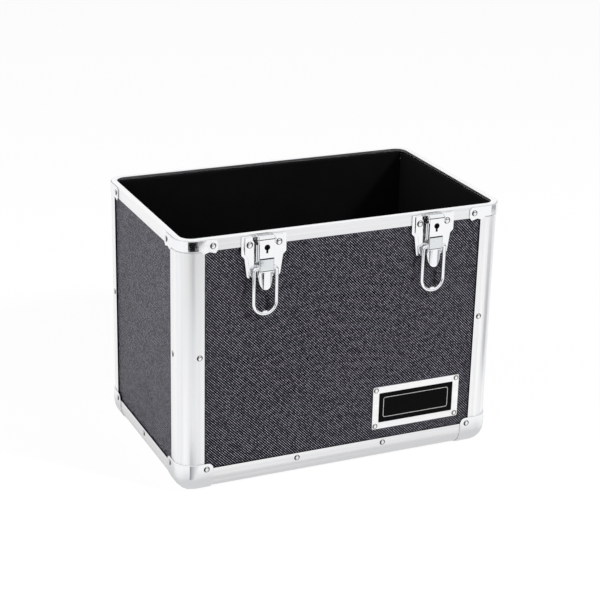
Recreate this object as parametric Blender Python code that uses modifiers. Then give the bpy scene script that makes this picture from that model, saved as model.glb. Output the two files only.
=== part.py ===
"""Record carrying case: the open-topped lower half of an aluminium-framed case for long-play records.

Five laminated boards stand in the slots of round-cornered aluminium angles. A bent U-channel closes the
mouth, pressed steel guards cover the corners, and two key-locking draw latches hang on the front, each
with a lever on a pin, a wire bail on the lever and a keyed bolt behind the lever's face.

World frame: +X to the right of the front, +Y towards the back, +Z up. The origin is on the floor, under
the middle of the case's bounding box, latches and hinges included. Units are metres.
"""

import math

import bmesh
import bpy
from mathutils import Matrix, Vector

MM = 0.001

# Overall frame
CASE_WIDTH = 355.0 * MM
CASE_DEPTH = 224.0 * MM
FRAME_HEIGHT = 272.0 * MM  # from the rails' underside to the top of the rim
SEAT_GAP = 0.25 * MM  # between pieces that are fastened face to face
WELD = 0.001 * MM
FLAT_DEG = 0.02  # faces that meet at less than this are one flat face
OVERRUN = 2.0 * MM  # how far a cutter runs past the solid that it cuts

# Round-cornered double angle: posts and bottom rails
EDGE_FLANGE = 26.0 * MM
EDGE_RADIUS = 18.0 * MM
EDGE_SKIN = 1.4 * MM
EDGE_WEB = 1.2 * MM
EDGE_INNER_WALL = 1.2 * MM
EDGE_INNER_FLANGE = 24.0 * MM
EDGE_CHAMBER_LEDGE = 0.3 * MM  # left on the inner wall behind each hollow chamber
EDGE_ARC_STEPS = 10

# Boards and soft lining
BOARD_THICKNESS = 3.0 * MM
LINING_THICKNESS = 3.0 * MM

# Rim channel round the mouth
RIM_OUTER_LEG = 12.5 * MM
RIM_INNER_LEG = 3.5 * MM
RIM_SEAM = 0.5 * MM
RIM_ARC_STEPS = 8

# Pressed steel corner guards
GUARD_SHEET = 0.9 * MM
CAP_SPAN = 36.5 * MM
CAP_RISE = 33.5 * MM
CAP_LOBE_RADIUS = 6.0 * MM
CAP_ARC_STEPS = 5
CAP_RIVET_INSET = 28.0 * MM
CAP_RIVET_RISE = 26.2 * MM
BRACKET_SPAN = 39.5 * MM
BRACKET_TOP_DROP = 0.7 * MM
BRACKET_BAND_DROP = 11.2 * MM
BRACKET_TIP_DROP = 15.0 * MM
BRACKET_NOTCH_DROP = 13.2 * MM
BRACKET_END_CHAMFER = 2.5 * MM
BRACKET_RIVET_INSET = 34.0 * MM
BRACKET_RIVET_DROP = 7.0 * MM
# places along a bracket's arm, as shares of its straight length: (share, which drop)
BRACKET_EDGE_SHARES = ((0.10, "band"), (0.30, "tip"), (0.58, "notch"), (0.88, "tip"), (1.0, "band"))
RIVET_HEAD_RADIUS = 2.5 * MM
RIVET_HEAD_HEIGHT = 1.1 * MM
RIVET_SINK = 0.2 * MM  # how far a dome's widest ring lies under the face
RIVET_SIDES = 12
RIVET_RINGS = 8
POST_RIVET_INSET = 20.8 * MM
POST_RIVET_RISE = 149.0 * MM
RAIL_RIVET_RISE = 20.8 * MM
RAIL_RIVET_PLACES = {"long": (-49.3 * MM, 49.3 * MM), "short": (0.0,)}

# Draw latches, measured from the rim's top and from the front face of the frame
LATCH_INSET_LEFT = 87.0 * MM  # from the case's side to the latch's middle
LATCH_INSET_RIGHT = 82.0 * MM
PLATE_SHEET = 0.9 * MM
PLATE_TOP_DROP = 1.8 * MM
PLATE_HALF_WIDTH = 23.8 * MM
PLATE_SHOULDER_DROP = 21.0 * MM
PLATE_WAIST_DROP = 24.5 * MM
PLATE_WAIST_HALF_WIDTH = 20.4 * MM
PLATE_FOOT_DROP = 45.2 * MM
PLATE_FOOT_HALF_WIDTH = 17.5 * MM
PLATE_CORNER_RADIUS = 2.0 * MM
FIELD_RISE = 1.1 * MM
FIELD_INSET = 3.6 * MM
PLATE_RIVET_OFFSET = 15.5 * MM
PLATE_RIVET_DROP = 10.5 * MM
PLATE_RIVET_RADIUS = 3.0 * MM
FIELD_END_INSET = 1.0 * MM
CHEEK_SHEET = 1.1 * MM
CHEEK_GAP = 0.3 * MM
CHEEK_STANDOFF = 4.3 * MM  # of the low run below the ear, over which the folded bail lies
CHEEK_FOOT_DROP = 29.5 * MM
CHEEK_NECK_DROP = 10.5 * MM
LEVER_PIN_RADIUS = 1.5 * MM
LEVER_PIN_DROP = 4.7 * MM
LEVER_PIN_HEAD_RADIUS = 2.3 * MM
LEVER_PIN_HEAD_HEIGHT = 0.35 * MM
LEVER_CROWN_RADIUS = 3.4 * MM
RUN_GAP = 0.08 * MM  # radial clearance of a turning fit
TURN_GAP = 0.4 * MM  # least clearance of a turning edge to what it passes
LEVER_WIDTH = 16.0 * MM
LEVER_SHEET = 1.1 * MM
LEVER_STEP_DROP = 22.6 * MM
LEVER_STEP = 0.5 * MM
LEVER_FLAP_DROP = 37.4 * MM
LEVER_LAP = 0.9 * MM
TONGUE_LENGTH = 19.2 * MM
TONGUE_CROWN = 3.0 * MM
TONGUE_INSET = 0.3 * MM  # in from the lever's sides
TONGUE_ARC_STEPS = 12
# the tongue's outline, top to tip: (share of the half width, share of the length)
TONGUE_EDGE_SHARES = (
    (1.1, 0.0),
    (1.0, 0.02),
    (0.99, 0.32),
    (0.90, 0.50),
    (0.72, 0.67),
    (0.47, 0.83),
    (0.20, 0.96),
    (0.06, 1.0),
)
LEVER_CHEEK_TAPER = 6.5 * MM
BAIL_WIRE_RADIUS = 1.7 * MM
BAIL_PIVOT_DROP = 35.0 * MM
BAIL_PIVOT_WALL = 1.15 * MM
BAIL_INNER_WIDTH = 20.8 * MM
BAIL_LENGTH = 47.8 * MM  # from its pivot to the middle of the wire at the bottom
BAIL_BEND_RADIUS = 3.0 * MM
BAIL_STUB_REACH = 1.0 * MM  # how far a stub shows inside the lever's wall
BAIL_NUB_WIDTH = 5.2 * MM
BAIL_NUB_RISE = 1.9 * MM  # short enough to pass the hook when the bail is folded back
BAIL_ARC_STEPS = 14
BAIL_BEND_STEPS = 4
KEYHOLE_DROP = 12.4 * MM
KEYHOLE_RADIUS = 3.0 * MM
KEYHOLE_SLOT_WIDTH = 2.2 * MM
KEYHOLE_SLOT_LENGTH = 6.0 * MM
LOCK_CASE_WALL = 1.1 * MM
LOCK_CASE_DEPTH = 2.8 * MM
LOCK_PLUG_RADIUS = 3.1 * MM
LOCK_SLOT_DEPTH = 1.6 * MM
LOCK_BOLT_SHEET = 1.2 * MM
LOCK_BOLT_WIDTH = 3.4 * MM
LOCK_BOLT_REACH = 6.2 * MM
LOCK_BOLT_GAP = 0.7 * MM  # between the bolt and the case behind which it turns
HOOK_SHEET = 1.0 * MM
HOOK_GAP = 0.45 * MM  # below the lock's case, which swings past the hook
HOOK_WALL = 1.3 * MM
ROUND_SIDES = 20

# Lift-off hinge halves on the hidden back
HINGE_INSET = 72.5 * MM  # from the case's side to the leaf's middle
HINGE_SHEET = 1.2 * MM
HINGE_WIDTH = 32.0 * MM
HINGE_TOP_DROP = 3.4 * MM
HINGE_HEIGHT = 34.0 * MM
HINGE_CORNER_RADIUS = 4.0 * MM
HINGE_PIN_RADIUS = 1.6 * MM
HINGE_KNUCKLE_WALL = 1.5 * MM
HINGE_PIN_REACH = 13.0 * MM
HINGE_PIN_HEAD = 1.0 * MM
HINGE_PIN_HEAD_RADIUS = 2.6 * MM

# Badge plate: a frame round a bare black insert
BADGE_WIDTH = 101.4 * MM
BADGE_HEIGHT = 48.0 * MM
BADGE_RIGHT_INSET = 90.5 * MM  # from the case's right face to the badge's middle
BADGE_RISE = 61.2 * MM  # from the rails' underside to the badge's middle
BADGE_BORDER = 7.2 * MM
BADGE_SHEET = 1.2 * MM
BADGE_INSERT_SHEET = 0.8 * MM
BADGE_CORNER_RADIUS = 2.0 * MM
BADGE_RIVET_INSET = 3.5 * MM
BADGE_RIVET_RADIUS = 1.0 * MM
BADGE_RIVET_HEAD_RADIUS = 2.0 * MM
BADGE_RIVET_HEAD_HEIGHT = 0.7 * MM

# Derived places
HALF_WIDTH = CASE_WIDTH / 2
HALF_DEPTH = CASE_DEPTH / 2
GUARD_STANDOFF = SEAT_GAP + GUARD_SHEET
BASE_Z = GUARD_STANDOFF  # the case stands on its corner caps
RIM_Z = BASE_Z + FRAME_HEIGHT
BOARD_FACE = EDGE_SKIN + SEAT_GAP  # a board's outer face, in from the frame's face
SLOT_BACK = BOARD_FACE + BOARD_THICKNESS + SEAT_GAP
FRAME_WALL = SLOT_BACK + EDGE_INNER_WALL
BOARD_EDGE = EDGE_RADIUS + SEAT_GAP
LINING_BACK = FRAME_WALL + SEAT_GAP
LINING_FACE = LINING_BACK + LINING_THICKNESS
# in from both faces of an edge, the lining's corners clear the ball-shaped inside of a cap
LINING_INSET = EDGE_RADIUS + SEAT_GAP - math.sqrt(LINING_BACK * (EDGE_RADIUS - LINING_BACK / 2))
RIM_LOW_Z = RIM_Z - RIM_OUTER_LEG

LATCH_PLACES = {"left": LATCH_INSET_LEFT - HALF_WIDTH, "right": HALF_WIDTH - LATCH_INSET_RIGHT}
HINGE_PLACES = {"left": HINGE_INSET - HALF_WIDTH, "right": HALF_WIDTH - HINGE_INSET}
FIELD_FACE = SEAT_GAP + PLATE_SHEET + FIELD_RISE
LEVER_PIN_OUT = FIELD_FACE + TURN_GAP + LEVER_CROWN_RADIUS
LEVER_FACE = LEVER_PIN_OUT + LEVER_CROWN_RADIUS
LEVER_BACK = FIELD_FACE + TURN_GAP
BAIL_HOLE_RADIUS = BAIL_WIRE_RADIUS + RUN_GAP
BAIL_LUG_RADIUS = BAIL_HOLE_RADIUS + BAIL_PIVOT_WALL
BAIL_PIVOT_OUT = FIELD_FACE + TURN_GAP + BAIL_LUG_RADIUS
BAIL_LEG_X = BAIL_INNER_WIDTH / 2 + BAIL_WIRE_RADIUS
LOCK_CASE_FRONT = LEVER_FACE - LEVER_SHEET - SEAT_GAP
LOCK_CASE_BACK = LOCK_CASE_FRONT - LOCK_CASE_DEPTH
LOCK_CASE_RADIUS = LOCK_PLUG_RADIUS + RUN_GAP + LOCK_CASE_WALL
LOCK_BOLT_FRONT = LOCK_CASE_BACK - LOCK_BOLT_GAP
LOCK_BOLT_BACK = LOCK_BOLT_FRONT - LOCK_BOLT_SHEET

HINGE_KNUCKLE_RADIUS = HINGE_PIN_RADIUS + RUN_GAP + HINGE_KNUCKLE_WALL
HINGE_OUT = SEAT_GAP + HINGE_KNUCKLE_RADIUS
ORIGIN_SHIFT = (LEVER_FACE - HINGE_OUT - HINGE_KNUCKLE_RADIUS) / 2  # puts the origin under the middle

SMOOTH_DEG = 30.0
CASE_COLLECTION = "record_carrying_case"
CUTTER_COLLECTION = "cutters"


def clear_scene():
    """Remove every object, so that the script can run again in the same file."""
    for old in list(bpy.data.objects):
        bpy.data.objects.remove(old, do_unlink=True)
    for name in (CASE_COLLECTION, CUTTER_COLLECTION):
        collection = bpy.data.collections.get(name)
        if collection is None:
            collection = bpy.data.collections.new(name)
            bpy.context.scene.collection.children.link(collection)


def material(name, color, roughness, metallic):
    """A Principled material with a plain colour."""
    made = bpy.data.materials.new(name)
    made.use_nodes = True
    shader = made.node_tree.nodes["Principled BSDF"]
    shader.inputs["Base Color"].default_value = (*color, 1.0)
    shader.inputs["Roughness"].default_value = roughness
    shader.inputs["Metallic"].default_value = metallic
    made.diffuse_color = (*color, 1.0)
    return made


def new_object(name, mesh, collection=CUTTER_COLLECTION):
    """An object for a mesh, among the cutters until it is dressed as a piece of the case."""
    made = bpy.data.objects.new(name, mesh)
    made.hide_render = True
    made.display_type = "WIRE"
    bpy.data.collections[collection].objects.link(made)
    return made


def mesh_from(bm, name):
    """Close a bmesh into a mesh with outward normals."""
    bmesh.ops.recalc_face_normals(bm, faces=bm.faces)
    mesh = bpy.data.meshes.new(name)
    bm.to_mesh(mesh)
    bm.free()
    return mesh


def box(low, high, name="box"):
    """A box between two opposite corners."""
    bm = bmesh.new()
    bmesh.ops.create_cube(bm, size=1.0)
    size = Vector(high) - Vector(low)
    middle = (Vector(high) + Vector(low)) / 2
    bmesh.ops.transform(bm, matrix=Matrix.Translation(middle) @ Matrix.Diagonal((*size, 1.0)), verts=bm.verts)
    return new_object(name, mesh_from(bm, name))


AXIS_TURNS = {
    "X": Matrix(((0, 0, 1, 0), (1, 0, 0, 0), (0, 1, 0, 0), (0, 0, 0, 1))),
    "Y": Matrix(((1, 0, 0, 0), (0, 0, -1, 0), (0, 1, 0, 0), (0, 0, 0, 1))),
    "Z": Matrix.Identity(4),
}


def cylinder(axis, middle, radius, low, high, sides=ROUND_SIDES, tip_radius=None, name="cylinder"):
    """A cylinder or cone along a world axis, from low to high on it, through a middle point."""
    bm = bmesh.new()
    top = radius if tip_radius is None else tip_radius
    bmesh.ops.create_cone(
        bm, cap_ends=True, segments=sides, radius1=radius, radius2=top, depth=high - low
    )
    index = "XYZ".index(axis)
    place = Vector(middle)
    place[index] = (low + high) / 2
    turn = AXIS_TURNS[axis] if axis != "Y" else Matrix.Rotation(-math.pi / 2, 4, "X")
    bmesh.ops.transform(bm, matrix=Matrix.Translation(place) @ turn, verts=bm.verts)
    return new_object(name, mesh_from(bm, name))


def arc(center, radius, start_deg, end_deg, steps):
    """Points along an arc in a plane, both ends included."""
    points = []
    for step in range(steps + 1):
        angle = math.radians(start_deg + (end_deg - start_deg) * step / steps)
        points.append((center[0] + radius * math.cos(angle), center[1] + radius * math.sin(angle)))
    return points


def rounded(points, radii, steps=4):
    """An outline with each corner replaced by an arc of its own radius."""
    outline = []
    count = len(points)
    for index, (point, radius) in enumerate(zip(points, radii)):
        corner = Vector(point)
        before = (Vector(points[index - 1]) - corner).normalized()
        after = (Vector(points[(index + 1) % count]) - corner).normalized()
        half_angle = before.angle(after) / 2
        if radius <= 0 or half_angle > math.radians(89):
            outline.append(tuple(corner))
            continue
        reach = radius / math.tan(half_angle)
        center = corner + (before + after).normalized() * (radius / math.sin(half_angle))
        start = corner + before * reach - center
        turn = start.angle_signed(corner + after * reach - center)
        for step in range(steps + 1):
            angle = -turn * step / steps
            spun = Matrix.Rotation(angle, 2) @ start
            outline.append(tuple(center + spun))
    return outline


def mirrored(half):
    """A closed outline from its right half, listed from the top down."""
    return list(half) + [(-x, y) for x, y in reversed(half)]


def prism(axis, loops, low, high, name="prism"):
    """A flat outline, with any holes, extruded along a world axis from low to high."""
    curve = bpy.data.curves.new(name, "CURVE")
    curve.dimensions = "2D"
    curve.fill_mode = "BOTH"
    curve.extrude = (high - low) / 2
    for loop in loops:
        spline = curve.splines.new("POLY")
        spline.points.add(len(loop) - 1)
        for point, (x, y) in zip(spline.points, loop):
            point.co = (x, y, 0.0, 1.0)
        spline.use_cyclic_u = True
    mesh = solid_mesh(new_object(name, curve))
    slide = Matrix.Translation((0.0, 0.0, (low + high) / 2))
    if axis == "Y":
        slide = Matrix.Translation((0.0, 0.0, -(low + high) / 2))
    mesh.transform(AXIS_TURNS[axis] @ slide)
    return new_object(name, mesh)


def solid_mesh(source):
    """The evaluated mesh of an object, welded shut; the object itself is removed."""
    bpy.context.view_layer.update()
    evaluated = source.evaluated_get(bpy.context.evaluated_depsgraph_get())
    mesh = bpy.data.meshes.new_from_object(evaluated)
    mesh.transform(source.matrix_world)
    data = source.data
    bpy.data.objects.remove(source, do_unlink=True)
    if isinstance(data, bpy.types.Curve):
        bpy.data.curves.remove(data)
    bm = bmesh.new()
    bm.from_mesh(mesh)
    bmesh.ops.remove_doubles(bm, verts=bm.verts, dist=WELD)
    bmesh.ops.dissolve_degenerate(bm, edges=bm.edges, dist=WELD)
    bmesh.ops.dissolve_limit(bm, angle_limit=math.radians(FLAT_DEG), verts=bm.verts, edges=bm.edges)
    bmesh.ops.delete(bm, geom=[edge for edge in bm.edges if edge.is_wire], context="EDGES")
    bmesh.ops.recalc_face_normals(bm, faces=bm.faces)
    bm.to_mesh(mesh)
    bm.free()
    return mesh


def boolean(solid, others, operation):
    """Join other solids to a solid, or cut them out of it, and drop them."""
    for other in others:
        step = solid.modifiers.new(operation.lower(), "BOOLEAN")
        step.operation = operation
        step.solver = "EXACT"
        step.object = other
        mesh = solid_mesh(solid)
        bpy.data.objects.remove(other, do_unlink=True)
        solid = new_object(mesh.name, mesh)
    return solid


def fuse(solid, *others):
    """Boolean union."""
    return boolean(solid, others, "UNION")


def cut(solid, *others):
    """Boolean difference."""
    return boolean(solid, others, "DIFFERENCE")


def finish(solid, name, look, place=None):
    """Turn a solid into a named piece of the case, at its place."""
    mesh = solid.data
    mesh.name = name
    bpy.data.objects.remove(solid, do_unlink=True)
    return piece(mesh, name, look, place)


def piece(mesh, name, look, place=None):
    """A named piece of the case that uses a mesh, which other pieces may share."""
    made = bpy.data.objects.new(name, mesh)
    bpy.data.collections[CASE_COLLECTION].objects.link(made)
    if not mesh.materials:
        mesh.materials.append(look)
    mesh.shade_smooth()
    mesh.set_sharp_from_angle(angle=math.radians(SMOOTH_DEG))
    if place is not None:
        made.matrix_world = place
    return made


def corner_turns():
    """The four vertical corners in order, each as a name and the turn and place of its frame.

    A corner's own frame has its origin on the outer edge line, with both faces running along +X and +Y.
    """
    corners = (
        ("front_left", -HALF_WIDTH, -HALF_DEPTH),
        ("front_right", HALF_WIDTH, -HALF_DEPTH),
        ("back_right", HALF_WIDTH, HALF_DEPTH),
        ("back_left", -HALF_WIDTH, HALF_DEPTH),
    )
    for quarter, (name, x, y) in enumerate(corners):
        turn = Matrix.Rotation(quarter * math.pi / 2, 4, "Z")
        yield name, Matrix.Translation((x, y, 0.0)) @ turn


def arc_setback(depth, clearance=0.0):
    """How far from a corner's face the inside of the round skin lies, at a depth behind the other face."""
    inner = EDGE_RADIUS - EDGE_SKIN - clearance
    across = inner ** 2 - (EDGE_RADIUS - depth) ** 2
    return EDGE_RADIUS - math.sqrt(max(across, 0.0))


def angle_loops():
    """The double angle's section: its outline and its two hollow chambers, corner at the origin."""
    center = (EDGE_RADIUS, EDGE_RADIUS)
    inner = EDGE_RADIUS - EDGE_SKIN
    near = max(FRAME_WALL, arc_setback(FRAME_WALL))
    heel = [(near, FRAME_WALL), (FRAME_WALL, near)] if near > FRAME_WALL else [(FRAME_WALL, FRAME_WALL)]
    half = [
        (EDGE_FLANGE, 0.0),
        (EDGE_FLANGE, EDGE_SKIN),
        (EDGE_RADIUS, EDGE_SKIN),
        (EDGE_RADIUS, SLOT_BACK),
        (EDGE_INNER_FLANGE, SLOT_BACK),
        (EDGE_INNER_FLANGE, FRAME_WALL),
    ]
    outline = half + heel + [(v, u) for u, v in reversed(half)]
    outline += arc(center, EDGE_RADIUS, 180.0, 270.0, EDGE_ARC_STEPS)
    web_face = EDGE_RADIUS - EDGE_WEB
    back = SLOT_BACK - EDGE_CHAMBER_LEDGE
    start = 270.0 - math.degrees(math.acos((EDGE_RADIUS - back) / inner))
    end = 270.0 - math.degrees(math.asin(EDGE_WEB / inner))
    chamber = arc(center, inner, start, end, EDGE_ARC_STEPS // 2) + [(web_face, back)]
    return [outline, chamber, [(v, u) for u, v in chamber]]


def build_frame(looks):
    """Four corner posts, four bottom rails and the bent rim channel."""
    post_low = BASE_Z + EDGE_FLANGE + SEAT_GAP
    post_high = RIM_LOW_Z - SEAT_GAP
    post = fuse(
        prism("Z", angle_loops(), post_low, post_high),
        rivet_head("Y", (POST_RIVET_INSET, 0.0, POST_RIVET_RISE + BASE_Z), 0.0),
        rivet_head("X", (0.0, POST_RIVET_INSET, POST_RIVET_RISE + BASE_Z), 0.0),
    )
    mesh = post.data
    bpy.data.objects.remove(post, do_unlink=True)
    for name, place in corner_turns():
        piece(mesh, f"post_{name}", looks["anodised"], place)

    def rail(name, half_length, quarter, face, rivets):
        bar = prism("X", angle_loops(), -half_length, half_length, name)
        heads = [rivet_head("Y", (x, 0.0, RAIL_RIVET_RISE), 0.0) for x in RAIL_RIVET_PLACES[rivets]]
        turn = Matrix.Rotation(quarter * math.pi / 2, 4, "Z")
        place = turn @ Matrix.Translation((0.0, -face, BASE_Z))
        finish(fuse(bar, *heads), name, looks["anodised"], place)

    along_x = HALF_WIDTH - EDGE_FLANGE - SEAT_GAP
    along_y = HALF_DEPTH - EDGE_FLANGE - SEAT_GAP
    rail("bottom_rail_front", along_x, 0, HALF_DEPTH, "long")
    rail("bottom_rail_right", along_y, 1, HALF_WIDTH, "short")
    rail("bottom_rail_back", along_x, 2, HALF_DEPTH, "long")
    rail("bottom_rail_left", along_y, 3, HALF_WIDTH, "short")
    build_rim(looks)


def rounded_rectangle(inset, steps):
    """A rectangle with round corners, a distance in from the frame's outer faces."""
    radius = EDGE_RADIUS - inset
    middle_x = HALF_WIDTH - EDGE_RADIUS
    middle_y = HALF_DEPTH - EDGE_RADIUS
    outline = []
    for quarter, (x, y) in enumerate(((1, 1), (-1, 1), (-1, -1), (1, -1))):
        center = (x * middle_x, y * middle_y)
        outline += arc(center, radius, quarter * 90.0, quarter * 90.0 + 90.0, steps)
    return outline


def build_rim(looks):
    """The rim: a U-channel bent round the four corners, with its seam in the middle of the back."""
    rings = []
    legs = (
        (0.0, EDGE_SKIN, RIM_LOW_Z, RIM_Z - EDGE_SKIN / 2),
        (0.0, FRAME_WALL, RIM_Z - EDGE_SKIN, RIM_Z),
        (SLOT_BACK, FRAME_WALL, RIM_Z - RIM_INNER_LEG, RIM_Z - EDGE_SKIN / 2),
    )
    for outer, inner, low, high in legs:
        loops = [rounded_rectangle(outer, RIM_ARC_STEPS), rounded_rectangle(inner, RIM_ARC_STEPS)]
        rings.append(prism("Z", loops, low, high, "rim_frame"))
    rim = fuse(*rings)
    seam = box(
        (-RIM_SEAM / 2, HALF_DEPTH - FRAME_WALL - OVERRUN, RIM_LOW_Z - OVERRUN),
        (RIM_SEAM / 2, HALF_DEPTH + OVERRUN, RIM_Z + OVERRUN),
    )
    finish(cut(rim, seam), "rim_frame", looks["anodised"])


def build_boards(looks):
    """Four wall boards and the floor board, each held in the slots round its edges."""
    low = BASE_Z + BOARD_EDGE
    high = RIM_Z - EDGE_SKIN - SEAT_GAP

    def wall(name, half_length, quarter, face):
        made = box(
            (-half_length, -face + BOARD_FACE, low),
            (half_length, -face + BOARD_FACE + BOARD_THICKNESS, high),
        )
        finish(made, name, looks["laminate"], Matrix.Rotation(quarter * math.pi / 2, 4, "Z"))

    half_x = HALF_WIDTH - BOARD_EDGE
    half_y = HALF_DEPTH - BOARD_EDGE
    wall("board_front", half_x, 0, HALF_DEPTH)
    wall("board_right", half_y, 1, HALF_WIDTH)
    wall("board_back", half_x, 2, HALF_DEPTH)
    wall("board_left", half_y, 3, HALF_WIDTH)
    floor = box(
        (-half_x, -half_y, BASE_Z + BOARD_FACE),
        (half_x, half_y, BASE_Z + BOARD_FACE + BOARD_THICKNESS),
    )
    finish(floor, "board_floor", looks["laminate"])


def build_lining(looks):
    """Foam sheets on the boards, each with a thicker middle that fills in between the inner flanges."""
    floor_top = BASE_Z + LINING_FACE
    wall_low = floor_top + SEAT_GAP
    wall_high = RIM_Z - RIM_INNER_LEG - SEAT_GAP
    pad_low = BASE_Z + EDGE_INNER_FLANGE + SEAT_GAP
    pad_back = SLOT_BACK

    def wall(name, half_length, half_pad, quarter, face):
        sheet = box(
            (-half_length, -face + LINING_BACK, wall_low),
            (half_length, -face + LINING_FACE, wall_high),
        )
        pad = box(
            (-half_pad, -face + pad_back, pad_low),
            (half_pad, -face + LINING_BACK + LINING_THICKNESS / 2, wall_high),
        )
        turn = Matrix.Rotation(quarter * math.pi / 2, 4, "Z")
        finish(fuse(sheet, pad), name, looks["foam"], turn)

    half_x = HALF_WIDTH - LINING_INSET
    half_y = HALF_DEPTH - LINING_FACE - SEAT_GAP
    pad_x = HALF_WIDTH - EDGE_INNER_FLANGE - SEAT_GAP
    pad_y = HALF_DEPTH - EDGE_INNER_FLANGE - SEAT_GAP
    wall("lining_front", half_x, pad_x, 0, HALF_DEPTH)
    wall("lining_right", half_y, pad_y, 1, HALF_WIDTH)
    wall("lining_back", half_x, pad_x, 2, HALF_DEPTH)
    wall("lining_left", half_y, pad_y, 3, HALF_WIDTH)
    edge_y = HALF_DEPTH - LINING_INSET
    sheet = box((-half_x, -edge_y, BASE_Z + LINING_BACK), (half_x, edge_y, floor_top))
    pad = box(
        (-pad_x, -pad_y, BASE_Z + pad_back),
        (pad_x, pad_y, BASE_Z + LINING_BACK + LINING_THICKNESS / 2),
    )
    finish(fuse(sheet, pad), "lining_floor", looks["foam"])


def rivet_head(axis, middle, face, radius=RIVET_HEAD_RADIUS):
    """A domed head that stands out of a face towards the low end of an axis, sunk a little into the face."""
    bm = bmesh.new()
    bmesh.ops.create_uvsphere(bm, u_segments=RIVET_SIDES, v_segments=RIVET_RINGS, radius=1.0)
    shape = Matrix.Diagonal((radius, radius, RIVET_HEAD_HEIGHT + RIVET_SINK, 1.0))
    bmesh.ops.transform(bm, matrix=shape, verts=bm.verts)
    root = Vector((0.0, 0.0, -RIVET_SINK))
    cut_off = bmesh.ops.bisect_plane(
        bm, geom=bm.verts[:] + bm.edges[:] + bm.faces[:], plane_co=root, plane_no=(0, 0, 1), clear_inner=True
    )
    rim = [item for item in cut_off["geom_cut"] if isinstance(item, bmesh.types.BMEdge)]
    bmesh.ops.contextual_create(bm, geom=rim)
    quarter = {"Y": Matrix.Rotation(math.pi / 2, 4, "X"), "X": Matrix.Rotation(-math.pi / 2, 4, "Y")}[axis]
    place = Vector(middle)
    place["XYZ".index(axis)] = face + RIVET_SINK
    bmesh.ops.transform(bm, matrix=Matrix.Translation(place) @ quarter, verts=bm.verts)
    return new_object("rivet_head", mesh_from(bm, "rivet_head"))


def build_caps(looks):
    """Round-cornered steel caps on the four lower corners: one shell, placed four times."""
    bm = bmesh.new()
    bmesh.ops.create_cube(bm, size=1.0)
    size = Vector((CAP_SPAN, CAP_SPAN, CAP_RISE))
    half = size / 2
    bmesh.ops.transform(bm, matrix=Matrix.Translation(half) @ Matrix.Diagonal((*size, 1.0)), verts=bm.verts)
    inner_faces = [face for face in bm.faces if max(face.normal) > abs(min(face.normal))]
    bmesh.ops.delete(bm, geom=inner_faces, context="FACES_ONLY")
    edges = [
        edge
        for edge in bm.edges
        if any(vert.co.length < SEAT_GAP for vert in edge.verts)
    ]
    radius = EDGE_RADIUS + GUARD_STANDOFF
    bmesh.ops.bevel(
        bm, geom=edges, offset=radius, offset_type="OFFSET", segments=CAP_ARC_STEPS, profile=0.5, affect="EDGES"
    )
    shell = new_object("corner_cap", mesh_from(bm, "corner_cap"))
    inward = shell.modifiers.new("sheet", "SOLIDIFY")
    inward.thickness = GUARD_SHEET
    inward.offset = -1.0
    inward.use_even_offset = True
    shell = new_object("corner_cap", solid_mesh(shell))

    def corner_trim(height):
        lobe = CAP_LOBE_RADIUS
        trim = arc((CAP_SPAN - lobe, height - lobe), lobe, 0.0, 90.0, 5)
        far = CAP_SPAN + OVERRUN
        return trim + [(CAP_SPAN - lobe, height + OVERRUN), (far, height + OVERRUN), (far, height - lobe)]

    shell = cut(
        shell,
        prism("Y", [corner_trim(CAP_RISE)], -OVERRUN, OVERRUN),
        prism("X", [corner_trim(CAP_RISE)], -OVERRUN, OVERRUN),
        prism("Z", [corner_trim(CAP_SPAN)], -OVERRUN, OVERRUN),
    )
    across = CAP_RIVET_INSET + GUARD_STANDOFF
    rise = CAP_RIVET_RISE + GUARD_STANDOFF
    shell = fuse(
        shell,
        rivet_head("Y", (across, 0.0, rise), 0.0),
        rivet_head("X", (0.0, across, rise), 0.0),
    )
    mesh = shell.data
    bpy.data.objects.remove(shell, do_unlink=True)
    shift = Matrix.Translation((-GUARD_STANDOFF, -GUARD_STANDOFF, 0.0))
    for name, place in corner_turns():
        piece(mesh, f"corner_cap_{name}", looks["chrome"], place @ shift)


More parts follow.
